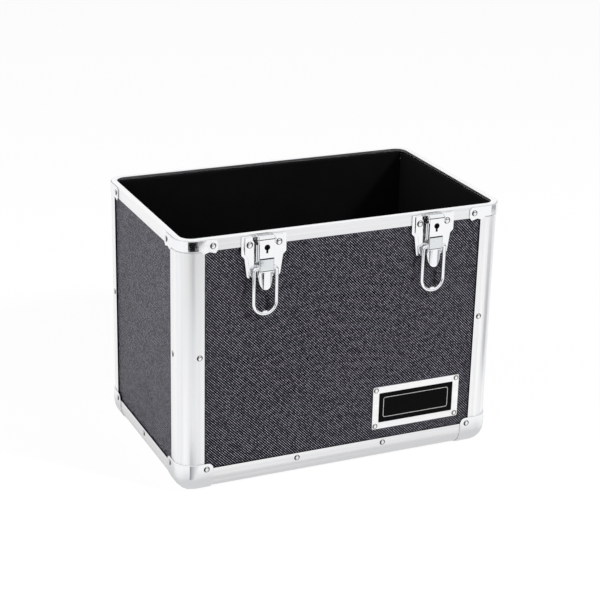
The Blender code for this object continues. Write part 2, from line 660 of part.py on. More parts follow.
def build_brackets(looks):
    """Steel brackets that wrap the rim's four corners, with a scalloped lower edge on each arm."""
    center = (EDGE_RADIUS, EDGE_RADIUS)
    top = RIM_Z - BRACKET_TOP_DROP
    low = RIM_Z - BRACKET_TIP_DROP
    band = RIM_Z - BRACKET_BAND_DROP
    section = [(BRACKET_SPAN, -GUARD_STANDOFF), (BRACKET_SPAN, -SEAT_GAP)]
    section += arc(center, EDGE_RADIUS + SEAT_GAP, 270.0, 180.0, EDGE_ARC_STEPS)
    section += [(-SEAT_GAP, BRACKET_SPAN), (-GUARD_STANDOFF, BRACKET_SPAN)]
    section += arc(center, EDGE_RADIUS + GUARD_STANDOFF, 180.0, 270.0, EDGE_ARC_STEPS)
    drops = {"band": BRACKET_BAND_DROP, "tip": BRACKET_TIP_DROP, "notch": BRACKET_NOTCH_DROP}
    reach = BRACKET_SPAN - EDGE_RADIUS
    scallops = [(EDGE_RADIUS, band)]
    scallops += [(EDGE_RADIUS + share * reach, RIM_Z - drops[kind]) for share, kind in BRACKET_EDGE_SHARES]
    scallops += [
        (BRACKET_SPAN + OVERRUN, band),
        (BRACKET_SPAN + OVERRUN, low - OVERRUN),
        (EDGE_RADIUS, low - OVERRUN),
    ]
    end = [
        (BRACKET_SPAN + OVERRUN, top - BRACKET_END_CHAMFER - OVERRUN),
        (BRACKET_SPAN + OVERRUN, top + OVERRUN),
        (BRACKET_SPAN - BRACKET_END_CHAMFER - OVERRUN, top + OVERRUN),
    ]
    outside = -GUARD_STANDOFF - OVERRUN
    bracket = cut(
        prism("Z", [section], low, top),
        box((outside, outside, low - OVERRUN), (EDGE_RADIUS, EDGE_RADIUS, band)),
        *[prism(axis, [loop], outside, EDGE_RADIUS) for axis in "YX" for loop in (scallops, end)],
    )
    middle = RIM_Z - BRACKET_RIVET_DROP
    bracket = fuse(
        bracket,
        rivet_head("Y", (BRACKET_RIVET_INSET, 0.0, middle), -GUARD_STANDOFF),
        rivet_head("X", (0.0, BRACKET_RIVET_INSET, middle), -GUARD_STANDOFF),
    )
    mesh = bracket.data
    bpy.data.objects.remove(bracket, do_unlink=True)
    for name, place in corner_turns():
        piece(mesh, f"rim_bracket_{name}", looks["chrome"], place)


def plate_outline(inset, end_inset):
    """The latch plate's shield, or the edge of its raised field, in from the sides and the ends."""
    half = [
        (PLATE_HALF_WIDTH - inset, -PLATE_TOP_DROP - end_inset),
        (PLATE_HALF_WIDTH - inset, -PLATE_SHOULDER_DROP),
        (PLATE_WAIST_HALF_WIDTH - inset, -PLATE_WAIST_DROP),
        (PLATE_FOOT_HALF_WIDTH - inset, -PLATE_FOOT_DROP + end_inset),
    ]
    radius = PLATE_CORNER_RADIUS
    radii = [radius / 2, radius, radius, radius]
    return rounded(mirrored(half), radii + radii[::-1])


def latch_plate():
    """The fixed plate: a pressed shield with two cheeks beside the lever and a hook for the bolt."""
    pan = prism("Y", [plate_outline(0.0, 0.0)], -SEAT_GAP - PLATE_SHEET, -SEAT_GAP)
    field_edge = plate_outline(FIELD_INSET, FIELD_END_INSET)
    field = prism("Y", [field_edge], -FIELD_FACE, -SEAT_GAP - PLATE_SHEET / 2)
    plate = fuse(pan, field)
    root = -FIELD_FACE + FIELD_RISE / 2
    pin = (-LEVER_PIN_OUT, -LEVER_PIN_DROP)
    crown = LEVER_CROWN_RADIUS
    ear = [(root, -LEVER_PIN_DROP + crown)]
    ear += arc(pin, crown, 90.0, 180.0, 6)
    ear += [
        (-LEVER_PIN_OUT - crown, -CHEEK_NECK_DROP + crown / 2),
        (-CHEEK_STANDOFF, -CHEEK_NECK_DROP),
        (-CHEEK_STANDOFF, -CHEEK_FOOT_DROP + crown),
        (-CHEEK_STANDOFF + crown / 2, -CHEEK_FOOT_DROP),
        (root, -CHEEK_FOOT_DROP),
    ]
    hole = arc(pin, LEVER_PIN_RADIUS + RUN_GAP, 0.0, 360.0, ROUND_SIDES)[:-1]
    inner = LEVER_WIDTH / 2 + CHEEK_GAP
    for low, high in ((inner, inner + CHEEK_SHEET), (-inner - CHEEK_SHEET, -inner)):
        plate = fuse(plate, prism("X", [ear, hole], low, high))
    hook_top = -KEYHOLE_DROP - LOCK_CASE_RADIUS - HOOK_GAP
    side = LOCK_BOLT_WIDTH / 2 + TURN_GAP
    under = -LOCK_BOLT_FRONT - TURN_GAP
    hook = [
        (-side, root),
        (-side - HOOK_WALL, root),
        (-side - HOOK_WALL, under - HOOK_WALL),
        (side, under - HOOK_WALL),
        (side, under),
        (-side, under),
    ]
    catch = prism("Z", [hook], hook_top - HOOK_SHEET, hook_top)
    rivets = [
        rivet_head("Y", (x, 0.0, -PLATE_RIVET_DROP), -FIELD_FACE, PLATE_RIVET_RADIUS)
        for x in (-PLATE_RIVET_OFFSET, PLATE_RIVET_OFFSET)
    ]
    return fuse(plate, catch, *rivets)


def latch_lever():
    """The lever: a channel with a crowned top on the pin, a stepped face and a spoon-shaped tongue."""
    half = LEVER_WIDTH / 2
    pin = (-LEVER_PIN_OUT, -LEVER_PIN_DROP)
    pivot = (-BAIL_PIVOT_OUT, -BAIL_PIVOT_DROP)
    lug = BAIL_LUG_RADIUS
    flap_face = LEVER_FACE - LEVER_STEP
    tongue_face = flap_face - LEVER_STEP
    edge = tongue_face - TONGUE_CROWN
    side = arc(pin, LEVER_CROWN_RADIUS, 0.0, 180.0, 12)
    side += [
        (-LEVER_FACE, -LEVER_STEP_DROP),
        (-flap_face, -LEVER_STEP_DROP),
        (-flap_face, -LEVER_FLAP_DROP),
        (-edge - LEVER_SHEET / 2, -LEVER_FLAP_DROP - LEVER_CHEEK_TAPER),
        (-edge + LEVER_SHEET / 2, -LEVER_FLAP_DROP - LEVER_CHEEK_TAPER),
    ]
    side += arc(pivot, lug, -45.0, 0.0, 4)
    side += [(-LEVER_BACK, -BAIL_PIVOT_DROP + lug)]
    pin_hole = arc(pin, LEVER_PIN_RADIUS + RUN_GAP, 0.0, 360.0, ROUND_SIDES)[:-1]
    bail_hole = arc(pivot, BAIL_HOLE_RADIUS, 0.0, 360.0, ROUND_SIDES)[:-1]
    walls = [
        prism("X", [side, pin_hole, bail_hole], low, high)
        for low, high in ((half - LEVER_SHEET, half), (-half, -half + LEVER_SHEET))
    ]
    crown_inner = LEVER_CROWN_RADIUS - LEVER_SHEET
    crown = arc(pin, LEVER_CROWN_RADIUS, 60.0, 180.0, 8)
    crown += [
        (-LEVER_FACE, -LEVER_STEP_DROP - LEVER_LAP),
        (-LEVER_FACE + LEVER_SHEET, -LEVER_STEP_DROP - LEVER_LAP),
    ]
    crown += arc(pin, crown_inner, 180.0, 60.0, 8)
    face = prism("X", [crown], -half + LEVER_SHEET / 2, half - LEVER_SHEET / 2)
    flap = box(
        (-half + LEVER_SHEET / 2, -flap_face, -LEVER_FLAP_DROP - LEVER_LAP),
        (half - LEVER_SHEET / 2, -flap_face + LEVER_SHEET, -LEVER_STEP_DROP),
    )
    lever = fuse(walls[0], face, walls[1], flap, lever_tongue(tongue_face))
    keyhole = cylinder(
        "Y", (0.0, 0.0, -KEYHOLE_DROP), KEYHOLE_RADIUS, -LEVER_FACE - OVERRUN, -LOCK_CASE_FRONT
    )
    slot = box(
        (-KEYHOLE_SLOT_WIDTH / 2, -LEVER_FACE - OVERRUN, -KEYHOLE_DROP - KEYHOLE_SLOT_LENGTH),
        (KEYHOLE_SLOT_WIDTH / 2, -LOCK_CASE_FRONT, -KEYHOLE_DROP),
    )
    return cut(lever, fuse(keyhole, slot))


def lever_tongue(face):
    """The tongue that a finger lifts: an arched sheet, cut to the outline of a spade."""
    half = LEVER_WIDTH / 2 - TONGUE_INSET
    bow = (half ** 2 + TONGUE_CROWN ** 2) / (2 * TONGUE_CROWN)
    span = math.degrees(math.asin(half / bow))
    center = (0.0, bow - face)
    section = arc(center, bow, 270.0 - span, 270.0 + span, TONGUE_ARC_STEPS)
    section += arc(center, bow - LEVER_SHEET, 270.0 + span, 270.0 - span, TONGUE_ARC_STEPS)
    low = -LEVER_FLAP_DROP - TONGUE_LENGTH
    sheet = prism("Z", [section], low - OVERRUN, -LEVER_FLAP_DROP)
    edge = [(half * x, -LEVER_FLAP_DROP - TONGUE_LENGTH * z) for x, z in TONGUE_EDGE_SHARES]
    edge[0] = (edge[0][0], edge[0][1] + OVERRUN)
    return boolean(sheet, [prism("Y", [mirrored(edge)], -face - OVERRUN, 0.0)], "INTERSECT")


def latch_bail():
    """The wire bail: a round-ended loop whose bent-in ends turn in the lever's walls."""
    stub = LEVER_WIDTH / 2 - LEVER_SHEET - BAIL_STUB_REACH
    bend = BAIL_BEND_RADIUS
    top = -BAIL_PIVOT_DROP
    low = top - BAIL_LENGTH + BAIL_LEG_X
    half = [(stub, top)]
    half += arc((BAIL_LEG_X - bend, top - bend), bend, 90.0, 0.0, BAIL_BEND_STEPS)
    half += arc((0.0, low), BAIL_LEG_X, 0.0, -90.0, BAIL_ARC_STEPS // 2)
    path = half + [(-x, z) for x, z in reversed(half[:-1])]
    curve = bpy.data.curves.new("bail", "CURVE")
    curve.dimensions = "3D"
    curve.bevel_depth = BAIL_WIRE_RADIUS
    curve.bevel_resolution = 3
    curve.use_fill_caps = True
    spline = curve.splines.new("POLY")
    spline.points.add(len(path) - 1)
    for point, (x, z) in zip(spline.points, path):
        point.co = (x, -BAIL_PIVOT_OUT, z, 1.0)
    wire = new_object("bail", solid_mesh(new_object("bail", curve)))
    bottom = top - BAIL_LENGTH
    thick = BAIL_WIRE_RADIUS * 0.8
    nub = box(
        (-BAIL_NUB_WIDTH / 2, -BAIL_PIVOT_OUT - thick, bottom),
        (BAIL_NUB_WIDTH / 2, -BAIL_PIVOT_OUT + thick, bottom + BAIL_WIRE_RADIUS + BAIL_NUB_RISE),
    )
    return fuse(wire, nub)


def latch_pin():
    """The lever's pin, with a low head beside each cheek."""
    cheek = LEVER_WIDTH / 2 + CHEEK_GAP + CHEEK_SHEET
    middle = (0.0, -LEVER_PIN_OUT, -LEVER_PIN_DROP)
    inner = cheek + SEAT_GAP
    outer = inner + LEVER_PIN_HEAD_HEIGHT
    rod = cylinder("X", middle, LEVER_PIN_RADIUS, -inner - LEVER_PIN_HEAD_HEIGHT / 2, inner + LEVER_PIN_HEAD_HEIGHT / 2)
    heads = [
        cylinder("X", middle, LEVER_PIN_HEAD_RADIUS, low, high) for low, high in ((inner, outer), (-outer, -inner))
    ]
    return fuse(rod, *heads)


def lock_case():
    """A short tube behind the keyhole, in which the plug turns."""
    middle = (0.0, -KEYHOLE_DROP)
    outer = arc(middle, LOCK_CASE_RADIUS, 0.0, 360.0, ROUND_SIDES)[:-1]
    bore = arc(middle, LOCK_PLUG_RADIUS + RUN_GAP, 0.0, 360.0, ROUND_SIDES)[:-1]
    return prism("Y", [outer, bore], -LOCK_CASE_FRONT, -LOCK_CASE_BACK)


def lock_bolt():
    """The plug with its key slot, and the flat bolt that it swings behind the hook."""
    middle = (0.0, 0.0, -KEYHOLE_DROP)
    plug = cylinder("Y", middle, LOCK_PLUG_RADIUS, -LOCK_CASE_FRONT, -LOCK_BOLT_BACK)
    reach = rounded(
        [
            (0.0, -KEYHOLE_DROP - LOCK_BOLT_WIDTH / 2),
            (LOCK_BOLT_REACH, -KEYHOLE_DROP - LOCK_BOLT_WIDTH / 2),
            (LOCK_BOLT_REACH, -KEYHOLE_DROP + LOCK_BOLT_WIDTH / 2),
            (0.0, -KEYHOLE_DROP + LOCK_BOLT_WIDTH / 2),
        ],
        [0.0, LOCK_BOLT_WIDTH / 4, LOCK_BOLT_WIDTH / 4, 0.0],
    )
    bolt = fuse(plug, prism("Y", [reach], -LOCK_BOLT_FRONT, -LOCK_BOLT_BACK))
    slot = box(
        (-KEYHOLE_SLOT_WIDTH / 2, -LOCK_CASE_FRONT - OVERRUN, -KEYHOLE_DROP - LOCK_PLUG_RADIUS - OVERRUN),
        (KEYHOLE_SLOT_WIDTH / 2, -LOCK_CASE_FRONT + LOCK_SLOT_DEPTH, -KEYHOLE_DROP + LOCK_PLUG_RADIUS / 2),
    )
    return cut(bolt, slot)


def joint_empty(name, place, parent=None):
    """An empty on a joint's axis, which carries the pieces that turn there."""
    empty = bpy.data.objects.new(name, None)
    bpy.data.collections[CASE_COLLECTION].objects.link(empty)
    empty.location = place
    if parent is not None:
        empty.parent = parent
        empty.location = Vector(place) - parent.matrix_world.translation
    bpy.context.view_layer.update()
    return empty


def hang(mesh, name, look, empty, origin):
    """A piece that turns with a joint: its mesh keeps its place and its origin is on the axis."""
    shifted = mesh.copy()
    shifted.name = name
    axis = empty.matrix_world.translation
    shifted.transform(Matrix.Translation(Vector(origin) - axis))
    made = piece(shifted, name, look)
    made.parent = empty
    return made


def build_latches(looks):
    """Two draw latches on the front, their levers closed and their bails hanging."""
    shapes = {
        "plate": latch_plate(),
        "pin": latch_pin(),
        "lever": latch_lever(),
        "bail": latch_bail(),
        "case": lock_case(),
        "bolt": lock_bolt(),
    }
    meshes = {key: shape.data for key, shape in shapes.items()}
    for shape in shapes.values():
        bpy.data.objects.remove(shape, do_unlink=True)
    for side, x in LATCH_PLACES.items():
        origin = Vector((x, -HALF_DEPTH, RIM_Z))
        place = Matrix.Translation(origin)
        piece(meshes["plate"], f"{side}_latch_plate", looks["chrome"], place)
        piece(meshes["pin"], f"{side}_lever_pin", looks["chrome"], place)
        lever_axis = joint_empty(f"{side}_lever_axis", origin + Vector((0.0, -LEVER_PIN_OUT, -LEVER_PIN_DROP)))
        bail_axis = joint_empty(
            f"{side}_bail_axis", origin + Vector((0.0, -BAIL_PIVOT_OUT, -BAIL_PIVOT_DROP)), lever_axis
        )
        bolt_axis = joint_empty(
            f"{side}_bolt_axis", origin + Vector((0.0, -LOCK_CASE_FRONT, -KEYHOLE_DROP)), lever_axis
        )
        hang(meshes["lever"], f"{side}_latch_lever", looks["chrome"], lever_axis, origin)
        hang(meshes["case"], f"{side}_lock_case", looks["zinc"], lever_axis, origin)
        hang(meshes["bail"], f"{side}_latch_bail", looks["chrome"], bail_axis, origin)
        hang(meshes["bolt"], f"{side}_lock_bolt", looks["zinc"], bolt_axis, origin)


def build_hinges(looks):
    """The case's halves of two lift-off hinges: a leaf with one knuckle and a pin that points right."""
    half = HINGE_WIDTH / 2
    top = -HINGE_TOP_DROP
    radius = HINGE_CORNER_RADIUS
    outline = rounded(
        [(half, top), (half, top - HINGE_HEIGHT), (-half, top - HINGE_HEIGHT), (-half, top)],
        [0.0, radius, radius, 0.0],
    )
    center = (HINGE_OUT, top - HINGE_SHEET)
    ring = arc(center, HINGE_KNUCKLE_RADIUS, 0.0, 360.0, ROUND_SIDES)[:-1]
    bore = arc(center, HINGE_PIN_RADIUS + RUN_GAP, 0.0, 360.0, ROUND_SIDES)[:-1]
    leaf = fuse(
        prism("Y", [outline], SEAT_GAP, SEAT_GAP + HINGE_SHEET),
        prism("X", [ring], -half, 0.0),
    )
    leaf = cut(
        leaf,
        box(
            (0.0, SEAT_GAP - OVERRUN, center[1] - HINGE_KNUCKLE_RADIUS),
            (half + OVERRUN, HINGE_OUT + OVERRUN, top + OVERRUN),
        ),
        prism("X", [bore], -half - OVERRUN, OVERRUN),
    )
    middle = (0.0, *center)
    pin = fuse(
        cylinder("X", middle, HINGE_PIN_RADIUS, -half - SEAT_GAP - HINGE_PIN_HEAD / 2, HINGE_PIN_REACH),
        cylinder("X", middle, HINGE_PIN_HEAD_RADIUS, -half - SEAT_GAP - HINGE_PIN_HEAD, -half - SEAT_GAP),
    )
    meshes = {"leaf": leaf.data, "pin": pin.data}
    for shape in (leaf, pin):
        bpy.data.objects.remove(shape, do_unlink=True)
    for side, x in HINGE_PLACES.items():
        place = Matrix.Translation((x, HALF_DEPTH, RIM_Z))
        piece(meshes["leaf"], f"{side}_hinge_leaf", looks["zinc"], place)
        piece(meshes["pin"], f"{side}_hinge_pin", looks["zinc"], place)


def build_badge(looks):
    """A pressed aluminium frame on the front board, round a bare black plate."""
    face = -HALF_DEPTH + BOARD_FACE
    middle = Matrix.Translation((HALF_WIDTH - BADGE_RIGHT_INSET, face - SEAT_GAP, BASE_Z + BADGE_RISE))

    def outline(inset, radius):
        x = BADGE_WIDTH / 2 - inset
        z = BADGE_HEIGHT / 2 - inset
        return rounded([(x, z), (x, -z), (-x, -z), (-x, z)], [radius] * 4, 3)

    radius = BADGE_CORNER_RADIUS
    across = BADGE_WIDTH / 2 - BADGE_RIVET_INSET
    rise = BADGE_HEIGHT / 2 - BADGE_RIVET_INSET
    holes = [
        arc((x, z), BADGE_RIVET_RADIUS + RUN_GAP, 0.0, 360.0, RIVET_SIDES)[:-1]
        for x in (-across, across)
        for z in (-rise, rise)
    ]
    frame = prism("Y", [outline(0.0, radius), outline(BADGE_BORDER, radius / 2), *holes], -BADGE_SHEET, 0.0)
    finish(frame, "badge_frame", looks["anodised"], middle)
    head = -BADGE_SHEET - SEAT_GAP
    tip = head - BADGE_RIVET_HEAD_HEIGHT
    rivet = fuse(
        cylinder("Y", (0.0, 0.0, 0.0), BADGE_RIVET_RADIUS, head - BADGE_RIVET_HEAD_HEIGHT / 2, 0.0, RIVET_SIDES),
        cylinder(
            "Y", (0.0, 0.0, 0.0), BADGE_RIVET_HEAD_RADIUS / 2, tip, head, RIVET_SIDES, BADGE_RIVET_HEAD_RADIUS
        ),
    )
    mesh = rivet.data
    bpy.data.objects.remove(rivet, do_unlink=True)
    places = {
        "upper_left": (-across, rise),
        "upper_right": (across, rise),
        "lower_left": (-across, -rise),
        "lower_right": (across, -rise),
    }
    for name, (x, z) in places.items():
        place = middle @ Matrix.Translation((x, 0.0, z))
        piece(mesh, f"badge_rivet_{name}", looks["zinc"], place)
    insert = prism("Y", [outline(BADGE_BORDER + SEAT_GAP, radius / 2)], -BADGE_INSERT_SHEET, 0.0)
    finish(insert, "badge_insert", looks["black_enamel"], middle)


def build():
    """Model the whole case."""
    clear_scene()
    looks = {
        "anodised": material("anodised_aluminium", (0.86, 0.86, 0.87), 0.32, 1.0),
        "chrome": material("chrome_plated_steel", (0.88, 0.88, 0.90), 0.12, 1.0),
        "zinc": material("zinc_plated_steel", (0.70, 0.71, 0.73), 0.30, 1.0),
        "laminate": material("black_laminate", (0.035, 0.034, 0.038), 0.55, 0.0),
        "foam": material("black_foam", (0.012, 0.012, 0.012), 0.95, 0.0),
        "black_enamel": material("black_enamel", (0.010, 0.010, 0.010), 0.30, 0.0),
    }
    build_frame(looks)
    build_boards(looks)
    build_lining(looks)
    build_caps(looks)
    build_brackets(looks)
    build_latches(looks)
    build_hinges(looks)
    build_badge(looks)
    for made in bpy.data.collections[CASE_COLLECTION].objects:
        if made.parent is None:
            made.location.y += ORIGIN_SHIFT


build()
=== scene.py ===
"""The record carrying case, dressed for a studio picture.

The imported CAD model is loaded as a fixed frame. Its boards, profiles and sheet parts keep their shapes and
get the finish of the real material, and most metal edges are rolled over a little. The soft lining, the rivet
heads, the latch bails, the small sheets on the levers and the printed line on the badge are new surfaces,
worked out with numpy on grids of two parameters. Lengths are in metres, with +X to the right of the front,
+Y towards the back and +Z up.
"""

import logging
import math
from dataclasses import dataclass
from enum import Enum
from functools import partial
from typing import Any, Callable, Sequence

import bmesh
import bpy
import numpy as np
from mathutils import Matrix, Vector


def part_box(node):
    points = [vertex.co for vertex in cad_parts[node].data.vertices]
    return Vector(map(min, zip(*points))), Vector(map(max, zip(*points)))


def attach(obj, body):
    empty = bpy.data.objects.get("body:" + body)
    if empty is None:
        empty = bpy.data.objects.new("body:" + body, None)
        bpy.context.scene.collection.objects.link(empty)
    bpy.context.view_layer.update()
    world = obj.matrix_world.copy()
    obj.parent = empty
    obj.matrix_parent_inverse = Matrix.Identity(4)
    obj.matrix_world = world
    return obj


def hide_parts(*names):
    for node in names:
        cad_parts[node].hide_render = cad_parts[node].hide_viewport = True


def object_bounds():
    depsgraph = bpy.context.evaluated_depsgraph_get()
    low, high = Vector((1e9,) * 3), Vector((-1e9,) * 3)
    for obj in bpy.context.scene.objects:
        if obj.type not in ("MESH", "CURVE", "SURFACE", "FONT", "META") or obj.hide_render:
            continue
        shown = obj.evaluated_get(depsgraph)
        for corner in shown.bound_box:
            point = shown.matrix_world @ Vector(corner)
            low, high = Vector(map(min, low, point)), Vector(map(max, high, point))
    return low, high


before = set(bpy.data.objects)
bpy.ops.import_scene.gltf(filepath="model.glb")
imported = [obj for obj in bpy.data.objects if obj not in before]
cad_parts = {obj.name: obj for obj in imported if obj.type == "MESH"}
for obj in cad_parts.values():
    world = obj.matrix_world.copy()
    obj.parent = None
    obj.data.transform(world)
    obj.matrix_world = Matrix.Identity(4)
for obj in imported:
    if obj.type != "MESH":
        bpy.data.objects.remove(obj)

log = logging.getLogger("record_carrying_case")
MM = 0.001
SAME_PLACE = 0.001 * MM  # points nearer than this are one
SHARP_DEG = 40.0  # the least turn between two faces that shows as an edge
ROLL = 0.28 * MM  # how far the round of a rolled edge reaches
ROLL_DEG = 35.0  # the least turn of an edge that is rolled
FLAT_DEG = 0.5  # faces that turn by less than this are one flat face
HEAD_POWER = 2.3  # of a rivet head's outline: 2 gives a round one, and more a fuller one
HEAD_SINK = 0.25 * MM  # how deep a rivet head reaches under its face
PAINTED_SHADE_RING = 0.4 * MM  # how far the painted shade ring round a rivet's head reaches
PAINTED_SHADE_RING_HEIGHT = 0.06 * MM
WALLS = ("front", "right", "back", "left", "floor")  # in the order of Facing
CORNERS = ("front_left", "front_right", "back_left", "back_right")
CAD_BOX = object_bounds()
Grid = np.ndarray
Adder = Callable[..., bpy.types.Node]
Spot = tuple[Sequence[float], Sequence[float], float, float]  # a rivet's middle, outward way, radius and height


class Facing(Enum):
    """The way that a board faces: the axis and the degrees that slant its pattern, and the pattern's axes."""

    FRONT = ("Y", 45.0, "X", "Z")
    RIGHT = ("X", -45.0, "Y", "Z")
    BACK = ("Y", -45.0, "X", "Z")
    LEFT = ("X", 45.0, "Y", "Z")
    DOWN = ("Z", 45.0, "X", "Y")


class Side(Enum):
    """The two latches and the two hinges, named as seen from the front."""

    LEFT = "left"
    RIGHT = "right"


def linear(code: str) -> tuple[float, float, float, float]:
    """Turn an sRGB hex value into a linear colour.

    Args:
        code: six hex digits after a hash.

    Returns:
        Red, green, blue and an alpha of 1, in linear light.
    """
    parts = np.array([int(code[i:i + 2], 16) for i in (1, 3, 5)]) / 255.0
    light = np.where(parts <= 0.04045, parts / 12.92, ((parts + 0.055) / 1.055) ** 2.4)
    return (*(float(part) for part in light), 1.0)


def add_node(tree: bpy.types.NodeTree, kind: str, settings: dict[Any, Any] | None = None,
             links: dict[Any, Any] | None = None) -> bpy.types.Node:
    """Add one shader node with its settings and the links into it.

    Args:
        tree: the node tree.
        kind: the node's type name, without ShaderNode before it.
        settings: attributes by name, and socket values by name or number.
        links: what feeds each input, by the input's name or number: an output, or a node with its first one.

    Returns:
        The new node.
    """
    node = tree.nodes.new(f"ShaderNode{kind}")
    for key, value in (settings or {}).items():
        if isinstance(key, str) and hasattr(node, key):
            setattr(node, key, value)
        else:
            node.inputs[key].default_value = value
    for key, source in (links or {}).items():
        output = source.outputs[0] if isinstance(source, bpy.types.Node) else source
        tree.links.new(output, node.inputs[key])
    return node


def new_material(name: str) -> tuple[bpy.types.Material, Adder]:
    """Make a material with no nodes yet, and the function that adds them."""
    made = bpy.data.materials.new(name)
    made.use_nodes = True
    made.node_tree.nodes.clear()
    return made, partial(add_node, made.node_tree)


def add_object(name: str, data: bpy.types.ID) -> bpy.types.Object:
    """Put a mesh, a lamp or a camera into the scene as an object at the origin."""
    made = bpy.data.objects.new(name, data)
    bpy.context.scene.collection.objects.link(made)
    return made


def surface(name: str, points: Grid, faces: Grid, finish: bpy.types.Material) -> bpy.types.Object:
    """Put arrays of points and four-sided faces into a mesh object at the origin.

    Points that lie in one place are made one, and a face that this leaves without three corners is dropped.
    The volume that the faces enclose is the sum, over their triangles, of a sixth of the first corner's dot
    product with the cross product of the other two. Where it is negative the faces are turned to point outwards.

    Args:
        name: the piece's name.
        points: an array of n by 3 places.
        faces: an array of m by 4 point numbers; a triangle gives one of them twice.
        finish: the material.

    Returns:
        The object, linked to the scene.
    """
    points = points.reshape(-1, 3)
    _, kept, joined = np.unique(np.round(points / SAME_PLACE), axis=0, return_index=True, return_inverse=True)
    points, faces = points[kept], joined.reshape(-1)[faces]
    corners = points[faces]
    fans = np.cross(corners[:, 1], corners[:, 2]) + np.cross(corners[:, 2], corners[:, 3])
    if float((corners[:, 0] * fans).sum()) < 0:
        faces = faces[:, ::-1]
    mesh = bpy.data.meshes.new(name)
    listed = [tuple(dict.fromkeys(face)) for face in faces.tolist()]
    mesh.from_pydata(points.tolist(), [], [face for face in listed if len(face) > 2])
    mesh.materials.append(finish)
    mesh.shade_smooth()
    mesh.set_sharp_from_angle(angle=math.radians(SHARP_DEG))
    return add_object(name, mesh)


def quads(rows: int, columns: int, wrap_rows: bool = False, wrap_columns: bool = False) -> Grid:
    """The four-sided faces of a grid of points.

    Args:
        rows: points along the first parameter.
        columns: points along the second parameter.
        wrap_rows: whether the last row meets the first.
        wrap_columns: whether the last column meets the first.

    Returns:
        An array of faces, each four point numbers.
    """
    i, j = np.indices((rows if wrap_rows else rows - 1, columns if wrap_columns else columns - 1))
    after_i, after_j = (i + 1) % rows, (j + 1) % columns
    cells = [i * columns + j, after_i * columns + j, after_i * columns + after_j, i * columns + after_j]
    return np.stack(cells, -1).reshape(-1, 4)


def capped(rings: Grid, ends: Any = None) -> tuple[Grid, Grid]:
    """A skin over a row of rings, closed at each end by a fan of triangles.

    Args:
        rings: rows by columns by 3 points.
        ends: the two points that the fans meet in, or none for the middles of the first and the last ring.

    Returns:
        The points and the faces of the skin.
    """
    rows, columns = rings.shape[:2]
    around = np.arange(columns)
    after = (around + 1) % columns
    middle, last = rows * columns, (rows - 1) * columns
    first_fan = np.stack([np.full(columns, middle), around, after, after], -1)
    last_fan = np.stack([np.full(columns, middle + 1), last + after, last + around, last + around], -1)
    points = np.concatenate([rings.reshape(-1, 3), rings[[0, -1]].mean(axis=1) if ends is None else ends])
    return points, np.concatenate([quads(rows, columns, wrap_columns=True), first_fan, last_fan])


def frame_of(outward: Sequence[float]) -> Grid:
    """Square axes for a face, as columns: across, up and outward, with across x up = outward."""
    out = np.array(outward, float)
    out /= np.linalg.norm(out)
    rough_up = np.array((0.0, 0.0, 1.0)) if abs(out[2]) < 0.9 else np.array((0.0, 1.0, 0.0))
    across = np.cross(rough_up, out)
    across /= np.linalg.norm(across)
    return np.column_stack([across, np.cross(out, across), out])


# Finishes


